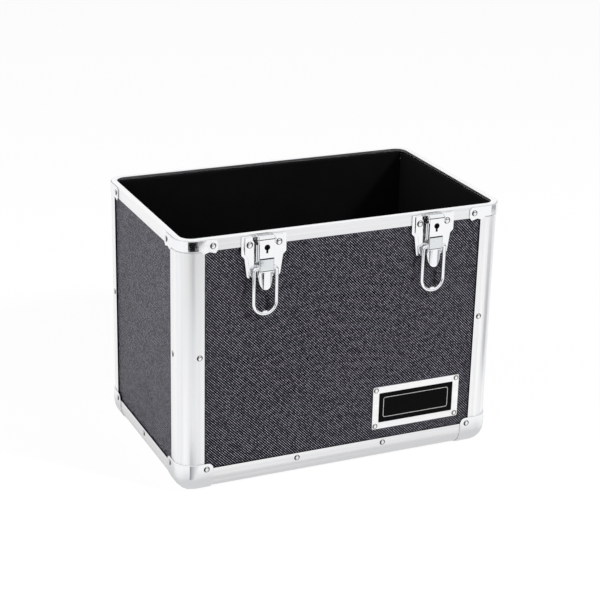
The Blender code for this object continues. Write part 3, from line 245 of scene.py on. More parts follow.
@dataclass(frozen=True)
class AnodisedAluminium:
    """Extruded aluminium, satin anodised: pale, with fine die lines along the length of each profile.

    The die lines blur a reflection across them, which gives the soft bands that run along a profile. The thin
    edge that faces the board is painted dark, a painted shade and a painted reflection of the black board,
    and shows as a dark line beside the board.
    """

    name: str = "satin_anodised_upright"
    color: str = "#FCFCFC"
    shade: str = "#EFF0F2"
    painted_lip_shade: str = ""
    roughness: float = 0.34
    line_spacing: float = 0.9 * MM  # real die lines are finer; these are as coarse as the picture shows
    line_depth: float = 0.04 * MM
    band_spacing: float = 4.2 * MM  # wider bands where the die is worn
    turn_place: float = 65.5 * MM  # half the width less half the depth: where a bent profile turns

    def build(self, along: Sequence[float], beside: Sequence[float] | None = None) -> bpy.types.Material:
        """Make the finish.

        Args:
            along: how far the pattern is stretched on each axis; a small value runs the lines along it.
            beside: the same for the two short sides of a profile that is bent round the corners.

        Returns:
            The material.
        """
        made, add = new_material(self.name)
        place = add("TexCoord")
        run = place.outputs["Object"]
        stretch = add("Mapping", {"Scale": along}, {"Vector": run}).outputs[0]
        if beside is not None:
            other = add("Mapping", {"Scale": beside}, {"Vector": run})
            folded = add("VectorMath", {"operation": "ABSOLUTE"}, {0: run})
            reach = add("SeparateXYZ", links={"Vector": folded}).outputs
            excess = add("Math", {"operation": "SUBTRACT"}, {0: reach["X"], 1: reach["Y"]})
            short = add("Math", {"operation": "GREATER_THAN", 1: self.turn_place}, {0: excess})
            stretch = add("Mix", {"data_type": "VECTOR"}, {0: short, 4: stretch, 5: other}).outputs[1]
        fine = {"Scale": 1.0 / self.line_spacing, "Detail": 3.0, "Roughness": 0.6}
        lines = add("TexNoise", fine, {"Vector": stretch})
        bands = add("TexNoise", {"Scale": 1.0 / self.band_spacing, "Detail": 2.0}, {"Vector": stretch})
        wide = add("MapRange", {"From Min": 0.36, "From Max": 0.66}, {"Value": bands})
        tone = add("Mix", {"data_type": "RGBA", 6: linear(self.color), 7: linear(self.shade)}, {0: wide})
        # painted shade: faces that turn towards the middle of the case, such as the thin edges beside the boards, are
        # painted dark
        if self.painted_lip_shade:
            middle_z = (CAD_BOX[0][2] + CAD_BOX[1][2]) / 2
            spot = add("VectorMath", {"operation": "SUBTRACT", 1: (0.0, 0.0, middle_z)}, {0: run})
            side = add("VectorMath", {"operation": "SIGN"}, {0: spot})
            facing = add("VectorMath", {"operation": "MULTIPLY"}, {0: place.outputs["Normal"], 1: side})
            parts = add("SeparateXYZ", links={"Vector": facing}).outputs
            least = add("Math", {"operation": "MINIMUM"}, {0: parts["X"], 1: parts["Y"]})
            inward = add("Math", {"operation": "MINIMUM"}, {0: least, 1: parts["Z"]})
            dark = add("MapRange", {"From Min": -0.35, "From Max": -0.7}, {"Value": inward})
            tone = add("Mix", {"data_type": "RGBA", 7: linear(self.painted_lip_shade)}, {0: dark, 6: tone.outputs[2]})
        spread = {"To Min": self.roughness - 0.05, "To Max": self.roughness + 0.06}
        rough = add("MapRange", spread, {"Value": lines})
        bump = add("Bump", {"Strength": 0.06, "Distance": self.line_depth}, {"Height": lines})
        wires = {"Base Color": tone.outputs[2], "Roughness": rough, "Normal": bump}
        add("OutputMaterial", links={"Surface": add("BsdfPrincipled", {"Metallic": 1.0}, wires)})
        return made


@dataclass(frozen=True)
class PlatedSteel:
    """Pressed steel under bright plating: near-mirror, with the slight waviness of pressed sheet.

    Handling leaves faint cloudy smudges, which show as patches of softer reflection. On a small head the
    shoulders that lean sideways can be painted darker, a painted reflection of a dark room at the sides.
    """

    name: str
    color: str
    roughness: float
    smudge: float = 0.08
    smudge_size: float = 9 * MM
    wave: float = 0.04 * MM
    wave_length: float = 14 * MM
    # painted reflection: the dark colour of shoulders that lean sideways, and the leans over which it sets in
    sideways_reflection: str = ""
    sideways_reflection_leans: tuple[float, float] = (0.14, 0.42)

    def build(self) -> bpy.types.Material:
        """Make the finish and return the material."""
        made, add = new_material(self.name)
        place = add("TexCoord").outputs
        cloud = {"Scale": 1.0 / self.smudge_size, "Detail": 4.0, "Roughness": 0.55}
        smudges = add("TexNoise", cloud, {"Vector": place["Object"]})
        dents = add("TexNoise", {"Scale": 1.0 / self.wave_length, "Detail": 1.0}, {"Vector": place["Object"]})
        spread = {"From Min": 0.35, "From Max": 0.75, "To Min": self.roughness, "To Max": self.roughness + self.smudge}
        rough = add("MapRange", spread, {"Value": smudges})
        bump = add("Bump", {"Strength": 0.35, "Distance": self.wave}, {"Height": dents})
        wires = {"Roughness": rough, "Normal": bump}
        # painted reflection: heads are darker where their shoulders lean sideways, as if they mirrored a dark room
        if self.sideways_reflection:
            lean = add("VectorMath", {"operation": "ABSOLUTE"}, {0: place["Normal"]})
            parts = add("SeparateXYZ", links={"Vector": lean}).outputs
            sideways = add("Math", {"operation": "MINIMUM"}, {0: parts["X"], 1: parts["Y"]})
            low, high = self.sideways_reflection_leans
            dark_reflection = add("MapRange", {"From Min": low, "From Max": high}, {"Value": sideways})
            tone = add("Mix", {"data_type": "RGBA", 6: linear(self.color), 7: linear(self.sideways_reflection)}, {0: dark_reflection})
            wires["Base Color"] = tone.outputs[2]
        shader = add("BsdfPrincipled", {"Metallic": 1.0, "Base Color": linear(self.color)}, wires)
        add("OutputMaterial", links={"Surface": shader})
        return made


@dataclass(frozen=True)
class EmbossedLaminate:
    """Black plastic laminate, embossed by a roller with rows of short slanting ridges.

    The light that the ridges catch, some more than others, is a painted highlight in their colour, and the
    grooves stay dark, which looks like a coarse grey weave.
    """

    name: str = "embossed_laminate"
    groove: str = "#060608"
    # painted highlight: the ridges' colour stands for the light that they catch
    ridge: str = "#ACABB9"
    roughness: float = 0.42
    gloss_level: float = 0.05  # a matt, open-pored skin, which shows less of the surround than a moulded one
    spacing: float = 2.07 * MM  # between rows, and along a row from one ridge to the next
    crest: tuple[float, float] = (0.29, 0.45)  # from foot to crest, in spacings from the groove's middle
    gap: tuple[float, float] = (0.08, 0.30)  # the same at a ridge's ends, from the gap's middle
    highlight_range: tuple[float, float] = (0.3, 1.3)  # how much light the faintest and the brightest ridge catch
    depth: float = 0.15 * MM

    def build(self, facing: Facing) -> bpy.types.Material:
        """Make the finish for one wall.

        Args:
            facing: the way that the board faces, which sets the plane of the pattern.

        Returns:
            The material.
        """
        made, add = new_material(f"{self.name}_{facing.name.lower()}")
        turned, degrees, across, along = facing.value
        slant = [math.radians(degrees) if axis == turned else 0.0 for axis in "XYZ"]
        scaled = {"Rotation": slant, "Scale": (1.0 / self.spacing,) * 3}
        slanted = add("Mapping", scaled, {"Vector": add("TexCoord").outputs["Object"]})
        parts = add("SeparateXYZ", links={"Vector": slanted}).outputs
        shapes, counts = [], []
        for axis, (low, high) in ((across, self.crest), (along, self.gap)):
            wave = add("Math", {"operation": "PINGPONG", 1: 0.5}, {0: parts[axis]})
            rise = {"interpolation_type": "SMOOTHSTEP", "From Min": low, "From Max": high}
            shapes.append(add("MapRange", rise, {"Value": wave}))
            counts.append(add("Math", {"operation": "FLOOR"}, {0: parts[axis]}))
        raised = add("Math", {"operation": "MULTIPLY"}, {0: shapes[0], 1: shapes[1]})
        ridge_number = add("CombineXYZ", links={"X": counts[0], "Y": counts[1]})
        lot = add("TexWhiteNoise", {"noise_dimensions": "2D"}, {"Vector": ridge_number})
        ridge_highlight = add("MapRange", {"To Min": self.highlight_range[0], "To Max": self.highlight_range[1]}, {"Value": lot})
        share = add("Math", {"operation": "MULTIPLY", "use_clamp": True}, {0: raised, 1: ridge_highlight})
        tone = add("Mix", {"data_type": "RGBA", 6: linear(self.groove), 7: linear(self.ridge)}, {0: share})
        bump = add("Bump", {"Strength": 0.6, "Distance": self.depth}, {"Height": raised})
        gloss = {"Roughness": self.roughness, "IOR": 1.5, "Specular IOR Level": self.gloss_level}
        shader = add("BsdfPrincipled", gloss, {"Base Color": tone.outputs[2], "Normal": bump})
        add("OutputMaterial", links={"Surface": shader})
        return made


@dataclass(frozen=True)
class EvaFoam:
    """Closed-cell EVA foam sheet, skived from a block: a dull, even black with a fine cellular skin."""

    name: str = "eva_foam"
    color: str = "#060607"
    bloom: str = "#0D0D0E"
    bloom_size: float = 30 * MM
    roughness: float = 0.95
    gloss_level: float = 0.12
    cell: float = 1.1 * MM  # real cells are about half of this, too fine to show
    depth: float = 0.15 * MM

    def build(self) -> bpy.types.Material:
        """Make the finish and return the material."""
        made, add = new_material(self.name)
        place = add("TexCoord").outputs["Object"]
        cells = add("TexVoronoi", {"Scale": 1.0 / self.cell}, {"Vector": place})
        cloud = add("TexNoise", {"Scale": 1.0 / self.bloom_size, "Detail": 3.0}, {"Vector": place})
        tone = add("Mix", {"data_type": "RGBA", 6: linear(self.color), 7: linear(self.bloom)}, {0: cloud})
        bump = add("Bump", {"Strength": 0.4, "Distance": self.depth}, {"Height": cells})
        gloss = {"Roughness": self.roughness, "IOR": 1.45, "Specular IOR Level": self.gloss_level}
        shader = add("BsdfPrincipled", gloss, {"Base Color": tone.outputs[2], "Normal": bump})
        add("OutputMaterial", links={"Surface": shader})
        return made


@dataclass(frozen=True)
class StovedEnamel:
    """Enamel baked on sheet metal: smooth and glossy, with a faint orange-peel ripple."""

    name: str
    color: str
    tint: str
    roughness: float = 0.22
    gloss_level: float = 0.5
    ripple: float = 2.4 * MM
    depth: float = 0.06 * MM

    def build(self) -> bpy.types.Material:
        """Make the finish and return the material."""
        made, add = new_material(self.name)
        place = add("TexCoord").outputs["Object"]
        peel = add("TexNoise", {"Scale": 1.0 / self.ripple, "Detail": 1.0}, {"Vector": place})
        tone = add("Mix", {"data_type": "RGBA", 6: linear(self.color), 7: linear(self.tint)}, {0: peel})
        bump = add("Bump", {"Strength": 0.15, "Distance": self.depth}, {"Height": peel})
        gloss = {"Roughness": self.roughness, "IOR": 1.52, "Specular IOR Level": self.gloss_level}
        shader = add("BsdfPrincipled", gloss, {"Base Color": tone.outputs[2], "Normal": bump})
        add("OutputMaterial", links={"Surface": shader})
        return made


class Finishes:
    """Every finish of the case, made once and shared."""

    def __init__(self) -> None:
        """Build the materials."""
        on_x, on_y, on_z = (0.01, 1.0, 1.0), (1.0, 0.01, 1.0), (1.0, 1.0, 0.01)
        # painted shade and reflection for the thin edges beside the boards
        painted_lip_shade = "#141416"
        self.upright = AnodisedAluminium(painted_lip_shade=painted_lip_shade).build(on_z)
        self.lengthwise = AnodisedAluminium("satin_anodised_lengthwise", painted_lip_shade=painted_lip_shade).build(on_x)
        self.crosswise = AnodisedAluminium("satin_anodised_crosswise", painted_lip_shade=painted_lip_shade).build(on_y)
        self.bent = AnodisedAluminium("satin_anodised_bent").build(on_x, on_y)
        self.bright = AnodisedAluminium("bright_anodised_aluminium", shade="#F4F4F5", roughness=0.3).build(on_x)
        self.chrome = PlatedSteel("bright_chrome_plated_steel", "#F1F2F4", 0.06).build()
        self.satin = PlatedSteel("satin_chrome_plated_steel", "#DDE1E3", 0.16, smudge=0.03).build()
        self.nickel = PlatedSteel("nickel_plated_steel", "#E2E2E4", 0.08, wave=0.02 * MM).build()
        # painted reflection: dark crescents on the heads' sideways shoulders
        self.rivet = PlatedSteel("nickel_plated_rivet", "#ECECED", 0.08, wave=0.02 * MM, sideways_reflection="#34332F").build()
        self.zinc = PlatedSteel("clear_zinc_plated_steel", "#C4C8CE", 0.28).build()
        # painted shade: one black for the keyhole's plug and bolt, the strips under the lever flaps and the rings
        # round the rivet heads
        self.shade_black = PlatedSteel("painted_shade_black", "#1C1C1E", 0.35).build()
        self.foam = EvaFoam().build()
        self.black = StovedEnamel("stoved_black_enamel", "#050506", "#09090A", gloss_level=0.03).build()
        self.pale = StovedEnamel("printed_pale_enamel", "#A9A9A6", "#B4B4B2").build()


def dress(finish: bpy.types.Material, *nodes: str) -> None:
    """Give CAD nodes a finish."""
    for node in nodes:
        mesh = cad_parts[node].data
        mesh.materials.clear()
        mesh.materials.append(finish)
        log.info("%s: %s", node, finish.name)


def place(piece: bpy.types.Object, body: str, slot: str, *stands_for: str) -> bpy.types.Object:
    """Fasten a new piece to its body and hide the CAD nodes that it stands for.

    Args:
        piece: the new object.
        body: the body that it rides on.
        slot: not used.
        stands_for: the CAD nodes that it replaces.

    Returns:
        The piece.
    """
    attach(piece, body)
    if stands_for:
        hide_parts(*stands_for)
    log.info("%s: rides on %s, %d faces", piece.name, body, len(piece.data.polygons))
    return piece


def rolled(node: str, finish: bpy.types.Material, body: str, slot: str, width: float = ROLL) -> bpy.types.Object:
    """A CAD node's solid with its sharp outer edges rolled over, as pressing, bending and tumbling leave them.

    The copy's loose triangles are merged and its flat faces joined. Each edge that stands out and turns by
    more than a set angle gets a narrow round, worked by a Bevel modifier that is limited to those edges.
    Normals are weighted by the area of the faces, so that a flat face mirrors as a flat one.

    Args:
        node: the CAD node that the piece stands for.
        finish: the material.
        body: the body that it rides on.
        slot: the name of a material slot, handed on to place.
        width: how far the round reaches from the edge.

    Returns:
        The piece.
    """
    least_turn = math.radians(ROLL_DEG)
    shape = bmesh.new()
    shape.from_mesh(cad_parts[node].data)
    bmesh.ops.remove_doubles(shape, verts=shape.verts, dist=2 * SAME_PLACE)
    bmesh.ops.dissolve_limit(shape, angle_limit=math.radians(FLAT_DEG), verts=shape.verts, edges=shape.edges)
    weight = shape.edges.layers.float.new("bevel_weight_edge")
    for edge in shape.edges:
        turned = len(edge.link_faces) == 2 and edge.calc_face_angle(0.0) > least_turn
        edge[weight] = 1.0 if turned and edge.is_convex else 0.0
        edge.smooth = not turned
    mesh = bpy.data.meshes.new(f"rolled_{node}")
    shape.to_mesh(mesh)
    shape.free()
    mesh.materials.clear()
    mesh.materials.append(finish)
    mesh.shade_smooth()
    mesh.set_sharp_from_angle(angle=least_turn)
    made = add_object(mesh.name, mesh)
    edges = made.modifiers.new("rolled_edges", "BEVEL")
    edges.limit_method = "WEIGHT"
    edges.width = width
    edges.segments = 2
    edges.use_clamp_overlap = True
    flats = made.modifiers.new("flat_faces", "WEIGHTED_NORMAL")
    flats.mode = "FACE_AREA"
    flats.weight = 100
    flats.keep_sharp = True
    return place(made, body, slot, node)


# Shapes


def dome_group(name: str, spots: Sequence[Spot], finish: bpy.types.Material, rings: int = 9,
               turns: int = 24) -> bpy.types.Object:
    """Low round rivet heads, in one mesh.

    A head's height over its face falls with the distance r from its middle as h times the nth root of
    1 - (r / radius) to the power n, where n is HEAD_POWER. A flat floor under the face closes it.

    Args:
        name: the piece's name.
        spots: the heads.
        finish: the material.
        rings: circles from the middle to the rim.
        turns: points on each circle.

    Returns:
        The object.
    """
    slope = np.linspace(0.0, math.pi / 2, rings + 1)[1:]
    angle = np.linspace(0.0, 2 * math.pi, turns, endpoint=False)
    radius_share = np.append(np.sin(slope) ** (2 / HEAD_POWER), 1.0)[:, None]
    rise_share = np.append(np.maximum(np.cos(slope), 0.0) ** (2 / HEAD_POWER), -1.0)
    points, faces = [], []
    for number, (middle, outward, radius, height) in enumerate(spots):
        rise = np.where(rise_share < 0, -HEAD_SINK, rise_share * height)
        grid = np.stack([
            radius * radius_share * np.cos(angle), radius * radius_share * np.sin(angle),
            np.repeat(rise[:, None], turns, 1),
        ], -1)
        head, skin = capped(grid, [(0.0, 0.0, height), (0.0, 0.0, -HEAD_SINK)])
        points.append(head @ frame_of(outward).T + np.array(middle))
        faces.append(skin + number * len(head))
    return surface(name, np.concatenate(points), np.concatenate(faces), finish)


def riveted(name: str, spots: Sequence[Spot], finishes: Finishes, *stands_for: str) -> None:
    """Set rivet heads on the case, each on a thin black ring of painted shade where it meets the sheet.

    Args:
        name: the heads' name.
        spots: the heads.
        finishes: the case's finishes.
        stands_for: the CAD nodes that the heads replace.
    """
    place(dome_group(name, spots, finishes.rivet), "case", "zinc_plated_steel", *stands_for)
    painted_shade_rings = [(middle, outward, radius + PAINTED_SHADE_RING, PAINTED_SHADE_RING_HEIGHT) for middle, outward, radius, _ in spots]
    # painted shade: a thin black ring round each head stands for the shade where it meets the sheet
    place(dome_group(f"{name}_seams", painted_shade_rings, finishes.shade_black, 3), "case", "zinc_plated_steel")


def corner_spots(inset: float, height: float, radius: float, rise: float, stand: float = 0.0) -> list[Spot]:
    """The places of two rivets at each corner of the case, one on each face.

    Args:
        inset: how far a rivet is from the corner of the sheet that carries it.
        height: its height over the ground.
        radius: the head's radius.
        rise: the head's height over its face.
        stand: how far the sheet's face stands out of the frame's.

    Returns:
        The spots, the front left corner's first.
    """
    low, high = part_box("rim_frame")
    reach = inset + stand
    spots: list[Spot] = []
    for out_y, face_y in ((-1, low[1] - stand), (1, high[1] + stand)):
        for out_x, face_x in ((-1, low[0] - stand), (1, high[0] + stand)):
            spots.append(((face_x - out_x * reach, face_y, height), (0, out_y, 0), radius, rise))
            spots.append(((face_x, face_y - out_y * reach, height), (out_x, 0, 0), radius, rise))
    return spots


def swept_tube(name: str, path: Grid, radius: float, finish: bpy.types.Material, sides: int = 20) -> bpy.types.Object:
    """A round wire carried along a flat path, with closed ends.

    Each point of the path gets a circle across it: the path's own normal times the cosine, plus the plane's
    normal times the sine, of an angle that runs once round.

    Args:
        name: the piece's name.
        path: n by 3 points in a plane of constant y.
        radius: the wire's radius.
        finish: the material.
        sides: points round the wire.

    Returns:
        The object.
    """
    along = np.gradient(path, axis=0)
    along /= np.linalg.norm(along, axis=1, keepdims=True)
    flat = np.array((0.0, 1.0, 0.0))
    across = np.cross(flat, along)
    angle = np.linspace(0.0, 2 * math.pi, sides, endpoint=False)[None, :, None]
    rings = path[:, None] + radius * (np.cos(angle) * across[:, None] + np.sin(angle) * flat)
    return surface(name, *capped(rings, path[[0, -1]]), finish)


def quarters(steps: int) -> tuple[Grid, Grid, Grid]:
    """Four quarter turns, counter-clockwise: the angles, and on which side of 0 each one's x and y lie."""
    turn = np.concatenate([np.linspace(q, q + math.pi / 2, steps) for q in np.arange(4) * math.pi / 2])
    return turn, np.repeat([1, -1, -1, 1], steps), np.repeat([1, 1, -1, -1], steps)


def pad(name: str, low: Sequence[float], high: Sequence[float], finish: bpy.types.Material,
        edge: float, steps: int = 6) -> bpy.types.Object:
    """A slab between two corners, with its edges and corners rounded.

    A ball of the edge's radius is split at its three middle planes, and each eighth moves to a corner of the
    slab: a point is the core's corner plus the radius times the direction that two angles give.

    Args:
        name: the piece's name.
        low: the lowest corner.
        high: the highest corner.
        finish: the material.
        edge: how far the rounding of the edges reaches.
        steps: points on a quarter turn.

    Returns:
        The object.
    """
    low_corner, high_corner = np.array(low, float), np.array(high, float)
    half = (high_corner - low_corner) / 2
    core = half - edge
    turn, side_x, side_y = quarters(steps)
    tilt = np.concatenate([np.linspace(-math.pi / 2, 0.0, steps + 1), np.linspace(0.0, math.pi / 2, steps + 1)])
    side_z = np.repeat([-1, 1], steps + 1)
    across = edge * np.cos(tilt)[:, None]
    grid = np.stack([
        side_x * core[0] + across * np.cos(turn),
        side_y * core[1] + across * np.sin(turn),
        np.repeat((side_z * core[2] + edge * np.sin(tilt))[:, None], len(turn), 1),
    ], -1)
    points, faces = capped(grid, [(0.0, 0.0, -half[2]), (0.0, 0.0, half[2])])
    return surface(name, points + (low_corner + high_corner) / 2, faces, finish)


def rounded_loop(half_x: float, half_z: float, radius: float, steps: int = 8) -> Grid:
    """The outline of a rectangle with round corners, as n by 2 points, counter-clockwise."""
    turn, side_x, side_z = quarters(steps)
    x = side_x * (half_x - radius) + radius * np.cos(turn)
    return np.column_stack([x, side_z * (half_z - radius) + radius * np.sin(turn)])


# Sub-assemblies


@dataclass
class SubAssembly:
    """Pieces of the case that are made together, from the shared finishes."""

    finishes: Finishes


@dataclass
class ProfileFrame(SubAssembly):
    """The extruded frame: posts, bottom rails and the bent rim, with a row of rivets along each."""

    rivet_radius: float = 2.7 * MM
    rivet_height: float = 1.05 * MM
    post_inset: float = 20.8 * MM
    post_rise: float = 150.15 * MM
    rail_rise: float = 21.95 * MM
    rail_spots: tuple[float, float] = (-49.3 * MM, 49.3 * MM)

    def make(self) -> None:
        """Dress the profiles and set the rivet heads: two on each post and long rail, one on each short rail."""
        profiles = {f"post_{corner}": self.finishes.upright for corner in CORNERS}
        profiles |= {f"bottom_rail_{wall}": self.finishes.lengthwise for wall in ("front", "back")}
        profiles |= {f"bottom_rail_{wall}": self.finishes.crosswise for wall in ("left", "right")}
        profiles["rim_frame"] = self.finishes.bent
        for node, finish in profiles.items():
            rolled(node, finish, "case", "anodised_aluminium")
        head = (self.rivet_radius, self.rivet_height)
        riveted("post_rivets", corner_spots(self.post_inset, self.post_rise, *head), self.finishes)
        low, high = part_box("rim_frame")
        middle_y = (low[1] + high[1]) / 2
        spots: list[Spot] = [
            ((x, face_y, self.rail_rise), (0, out_y, 0), *head)
            for face_y, out_y in ((low[1], -1), (high[1], 1)) for x in self.rail_spots
        ]
        spots += [
            ((face_x, middle_y, self.rail_rise), (out_x, 0, 0), *head)
            for face_x, out_x in ((low[0], -1), (high[0], 1))
        ]
        riveted("rail_rivets", spots, self.finishes)


@dataclass
class LaminatedBoards:
    """The five boards, each with the embossed pattern in its own plane."""

    laminate: EmbossedLaminate = EmbossedLaminate()

    def make(self) -> None:
        """Dress the boards."""
        for wall, facing in zip(WALLS, Facing):
            dress(self.laminate.build(facing), f"board_{wall}")


@dataclass
class FoamLining(SubAssembly):
    """Five foam sheets that line the walls and the floor, each a soft-edged slab in a CAD lining's space."""

    fill: float = 0.9
    edge: float = 1.1 * MM

    def make(self) -> None:
        """Make the slabs."""
        for wall in WALLS:
            node = f"lining_{wall}"
            slab = pad(f"foam_{wall}", *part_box(node), self.finishes.foam, self.edge)
            place(slab, "case", "black_foam", node)


@dataclass
class CornerGuards(SubAssembly):
    """The pressed caps at the bottom and the brackets round the rim, with a rivet on each face."""

    rivet_radius: float = 2.8 * MM
    rivet_height: float = 1.08 * MM
    stand: float = 1.15 * MM  # how far a guard's face stands out of the frame's
    cap_inset: float = 28.0 * MM
    cap_rise: float = 27.35 * MM
    bracket_inset: float = 34.0 * MM
    bracket_drop: float = 7.0 * MM

    def make(self) -> None:
        """Dress the guards and set their rivets."""
        for corner in CORNERS:
            for kind in ("corner_cap", "rim_bracket"):
                rolled(f"{kind}_{corner}", self.finishes.chrome, "case", "chrome_plated_steel")
        bracket_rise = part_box("rim_frame")[1][2] - self.bracket_drop
        for name, inset, rise in (
            ("cap_rivets", self.cap_inset, self.cap_rise), ("bracket_rivets", self.bracket_inset, bracket_rise),
        ):
            spots = corner_spots(inset, rise, self.rivet_radius, self.rivet_height, self.stand)
            riveted(name, spots, self.finishes)


@dataclass(frozen=True)
class LeverSheet:
    """A thin flat sheet on a lever's stepped face."""

    name: str
    half_width: float
    out: float  # how far its face stands out of the rim's
    thickness: float
    drops: tuple[float, float]  # how far its top and its foot lie below the rim's top
    edge: float = 0.15 * MM


@dataclass
class DrawLatch(SubAssembly):
    """One draw latch: plate, lever on its pin, wire bail and keyed bolt.

    On the lever's face lie a satin plate over the face's step and, under it, a black strip of painted shade,
    which shows as a dark line above and below the plate, where the gaps would lie in shadow.
    """

    side: Side
    lever_roll: float = 0.22 * MM
    wire_radius: float = 1.7 * MM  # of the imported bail, which gives the path
    plated_radius: float = 1.9 * MM
    leg_reach: float = 12.1 * MM
    bend: float = 3.0 * MM
    stub: float = 5.9 * MM
    nub_half: tuple[float, float] = (2.6 * MM, 1.36 * MM)  # half its width and half its depth
    nub_height: float = 3.6 * MM
    nub_edge: float = 0.7 * MM
    rivet_radius: float = 3.1 * MM
    rivet_height: float = 1.08 * MM
    rivet_offset: float = 15.5 * MM
    rivet_drop: float = 10.5 * MM
    field_out: float = 2.25 * MM
    flap: LeverSheet = LeverSheet("lever_flap", 7.2 * MM, 9.4 * MM, 0.4 * MM, (24.9 * MM, 36.7 * MM))
    # painted shade: a black strip whose ends show in the gaps above and below the flap
    shade_strip: LeverSheet = LeverSheet("lever_shade_strip", 7.6 * MM, 9.05 * MM, 0.35 * MM, (22.7 * MM, 37.5 * MM))
    tongue_out: float = 8.57 * MM
    tongue_half_width: float = 7.75 * MM
    tongue_crown: float = 3.0 * MM
    tongue_sheet: float = 1.25 * MM
    tongue_drops: tuple[float, float] = (37.0 * MM, 56.75 * MM)
    tongue_power: float = 2.5
    tongue_grid: tuple[int, int] = (22, 19)
    tongue_turn: float = 0.49 * math.pi  # just short of a quarter turn, so that the tip keeps a width

    def make(self) -> None:
        """Dress the latch's nodes, bend its bail and set the plate's rivets."""
        side, finishes = self.side.value, self.finishes
        rolled(f"{side}_latch_plate", finishes.chrome, "case", "chrome_plated_steel")
        rolled(f"{side}_latch_lever", finishes.chrome, f"{side}_lever", "chrome_plated_steel", self.lever_roll)
        dress(finishes.nickel, f"{side}_lever_pin")
        # painted shade: the plug and bolt are black so that the keyhole reads as a dark recess
        dress(finishes.shade_black, f"{side}_lock_case", f"{side}_lock_bolt")
        wire = swept_tube(f"{side}_bail_wire", self.bail_path(), self.plated_radius, finishes.chrome)
        place(wire, f"{side}_bail", "chrome_plated_steel", f"{side}_latch_bail")
        place(self.nub(), f"{side}_bail", "chrome_plated_steel")
        self.rivets()
        sheets = [self.sheet(self.flap, finishes.satin), self.sheet(self.shade_strip, finishes.shade_black), self.tongue()]
        for part in sheets:
            place(part, f"{side}_lever", "chrome_plated_steel")

    def lever_origin(self) -> tuple[float, float, float]:
        """The lever's middle in x, the rim's front face in y and the rim's top in z."""
        lever_low, lever_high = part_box(f"{self.side.value}_latch_lever")
        rim_low, rim_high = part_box("rim_frame")
        return (lever_low[0] + lever_high[0]) / 2, rim_low[1], rim_high[2]

    def sheet(self, cut: LeverSheet, finish: bpy.types.Material) -> bpy.types.Object:
        """A flat sheet on the lever's face, in a finish."""
        x, y, z = self.lever_origin()
        low = (x - cut.half_width, y - cut.out, z - cut.drops[1])
        high = (x + cut.half_width, y - cut.out + cut.thickness, z - cut.drops[0])
        return pad(f"{self.side.value}_{cut.name}", low, high, finish, cut.edge)

    def tongue(self) -> bpy.types.Object:
        """The tongue that a finger lifts: an arched sheet with a round tip.

        Across, the sheet falls away as a circle through the crown's height. Along it, with v from 0 at the top
        to 1 at the tip, the half width is the whole one times the nth root of 1 - v to the power n.
        """
        x, y, z = self.lever_origin()
        half, crown = self.tongue_half_width, self.tongue_crown
        bow = (half ** 2 + crown ** 2) / (2 * crown)
        rows, columns = self.tongue_grid
        turn = np.linspace(0.0, self.tongue_turn, rows)
        along = np.sin(turn) ** (2 / self.tongue_power)
        width = half * np.cos(turn) ** (2 / self.tongue_power)
        top, tip = self.tongue_drops
        across = width[:, None] * np.sin(np.linspace(-math.pi / 2, math.pi / 2, columns))
        fall = bow - np.sqrt(bow ** 2 - across ** 2)
        drop = np.repeat((top + (tip - top) * along)[:, None], columns, 1)
        front = np.stack([x + across, y - self.tongue_out + fall, z - drop], -1)
        back = (front + (0.0, self.tongue_sheet, 0.0))[:, ::-1]
        skin = capped(np.concatenate([front, back], 1))
        return surface(f"{self.side.value}_lever_tongue", *skin, self.finishes.chrome)

    def bail_path(self) -> Grid:
        """The middle of the wire, from one bent-in end round the bow to the other.

        A half runs straight from the end, turns a quarter circle of the bend's radius into the leg, and
        follows a quarter circle of the leg's reach to the bottom. The other half is its mirror.
        """
        low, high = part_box(f"{self.side.value}_latch_bail")
        top = high[2] - self.wire_radius
        bow_height = low[2] + self.wire_radius + self.leg_reach
        turn = np.linspace(math.pi / 2, 0.0, 10)
        elbow_x = self.leg_reach - self.bend + self.bend * np.cos(turn)
        elbow = np.column_stack([elbow_x, top - self.bend + self.bend * np.sin(turn)])
        fall = np.linspace(0.0, -math.pi / 2, 28)
        bow = np.column_stack([self.leg_reach * np.cos(fall), bow_height + self.leg_reach * np.sin(fall)])
        half = np.concatenate([[(self.stub, top)], elbow, bow])
        whole = np.concatenate([half, half[-2::-1] * (-1.0, 1.0)])
        middle_x, middle_y = (low[0] + high[0]) / 2, (low[1] + high[1]) / 2
        return np.column_stack([whole[:, 0] + middle_x, np.full(len(whole), middle_y), whole[:, 1]])

    def nub(self) -> bpy.types.Object:
        """The soft-edged block that is pressed on the bottom of the bow."""
        box_low, box_high = (np.array(corner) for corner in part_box(f"{self.side.value}_latch_bail"))
        foot = (box_low + box_high) / 2
        foot[2] = box_low[2] + self.wire_radius
        low = foot - (*self.nub_half, 0.0)
        high = foot + (*self.nub_half, self.nub_height)
        return pad(f"{self.side.value}_bail_nub", low, high, self.finishes.chrome, self.nub_edge)

    def rivets(self) -> None:
        """Set the two rivet heads on the plate's raised field."""
        plate_low, plate_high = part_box(f"{self.side.value}_latch_plate")
        rim_low, rim_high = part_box("rim_frame")
        middle_x = (plate_low[0] + plate_high[0]) / 2
        face, height = rim_low[1] - self.field_out, rim_high[2] - self.rivet_drop
        spots = [
            ((middle_x + offset, face, height), (0, -1, 0), self.rivet_radius, self.rivet_height)
            for offset in (-self.rivet_offset, self.rivet_offset)
        ]
        riveted(f"{self.side.value}_plate_rivets", spots, self.finishes)


@dataclass
class HingeHalves(SubAssembly):
    """The two hinge leaves on the back, each with its pin."""

    def make(self) -> None:
        """Dress the leaves and pins."""
        for side in Side:
            rolled(f"{side.value}_hinge_leaf", self.finishes.zinc, "case", "zinc_plated_steel")
            dress(self.finishes.zinc, f"{side.value}_hinge_pin")


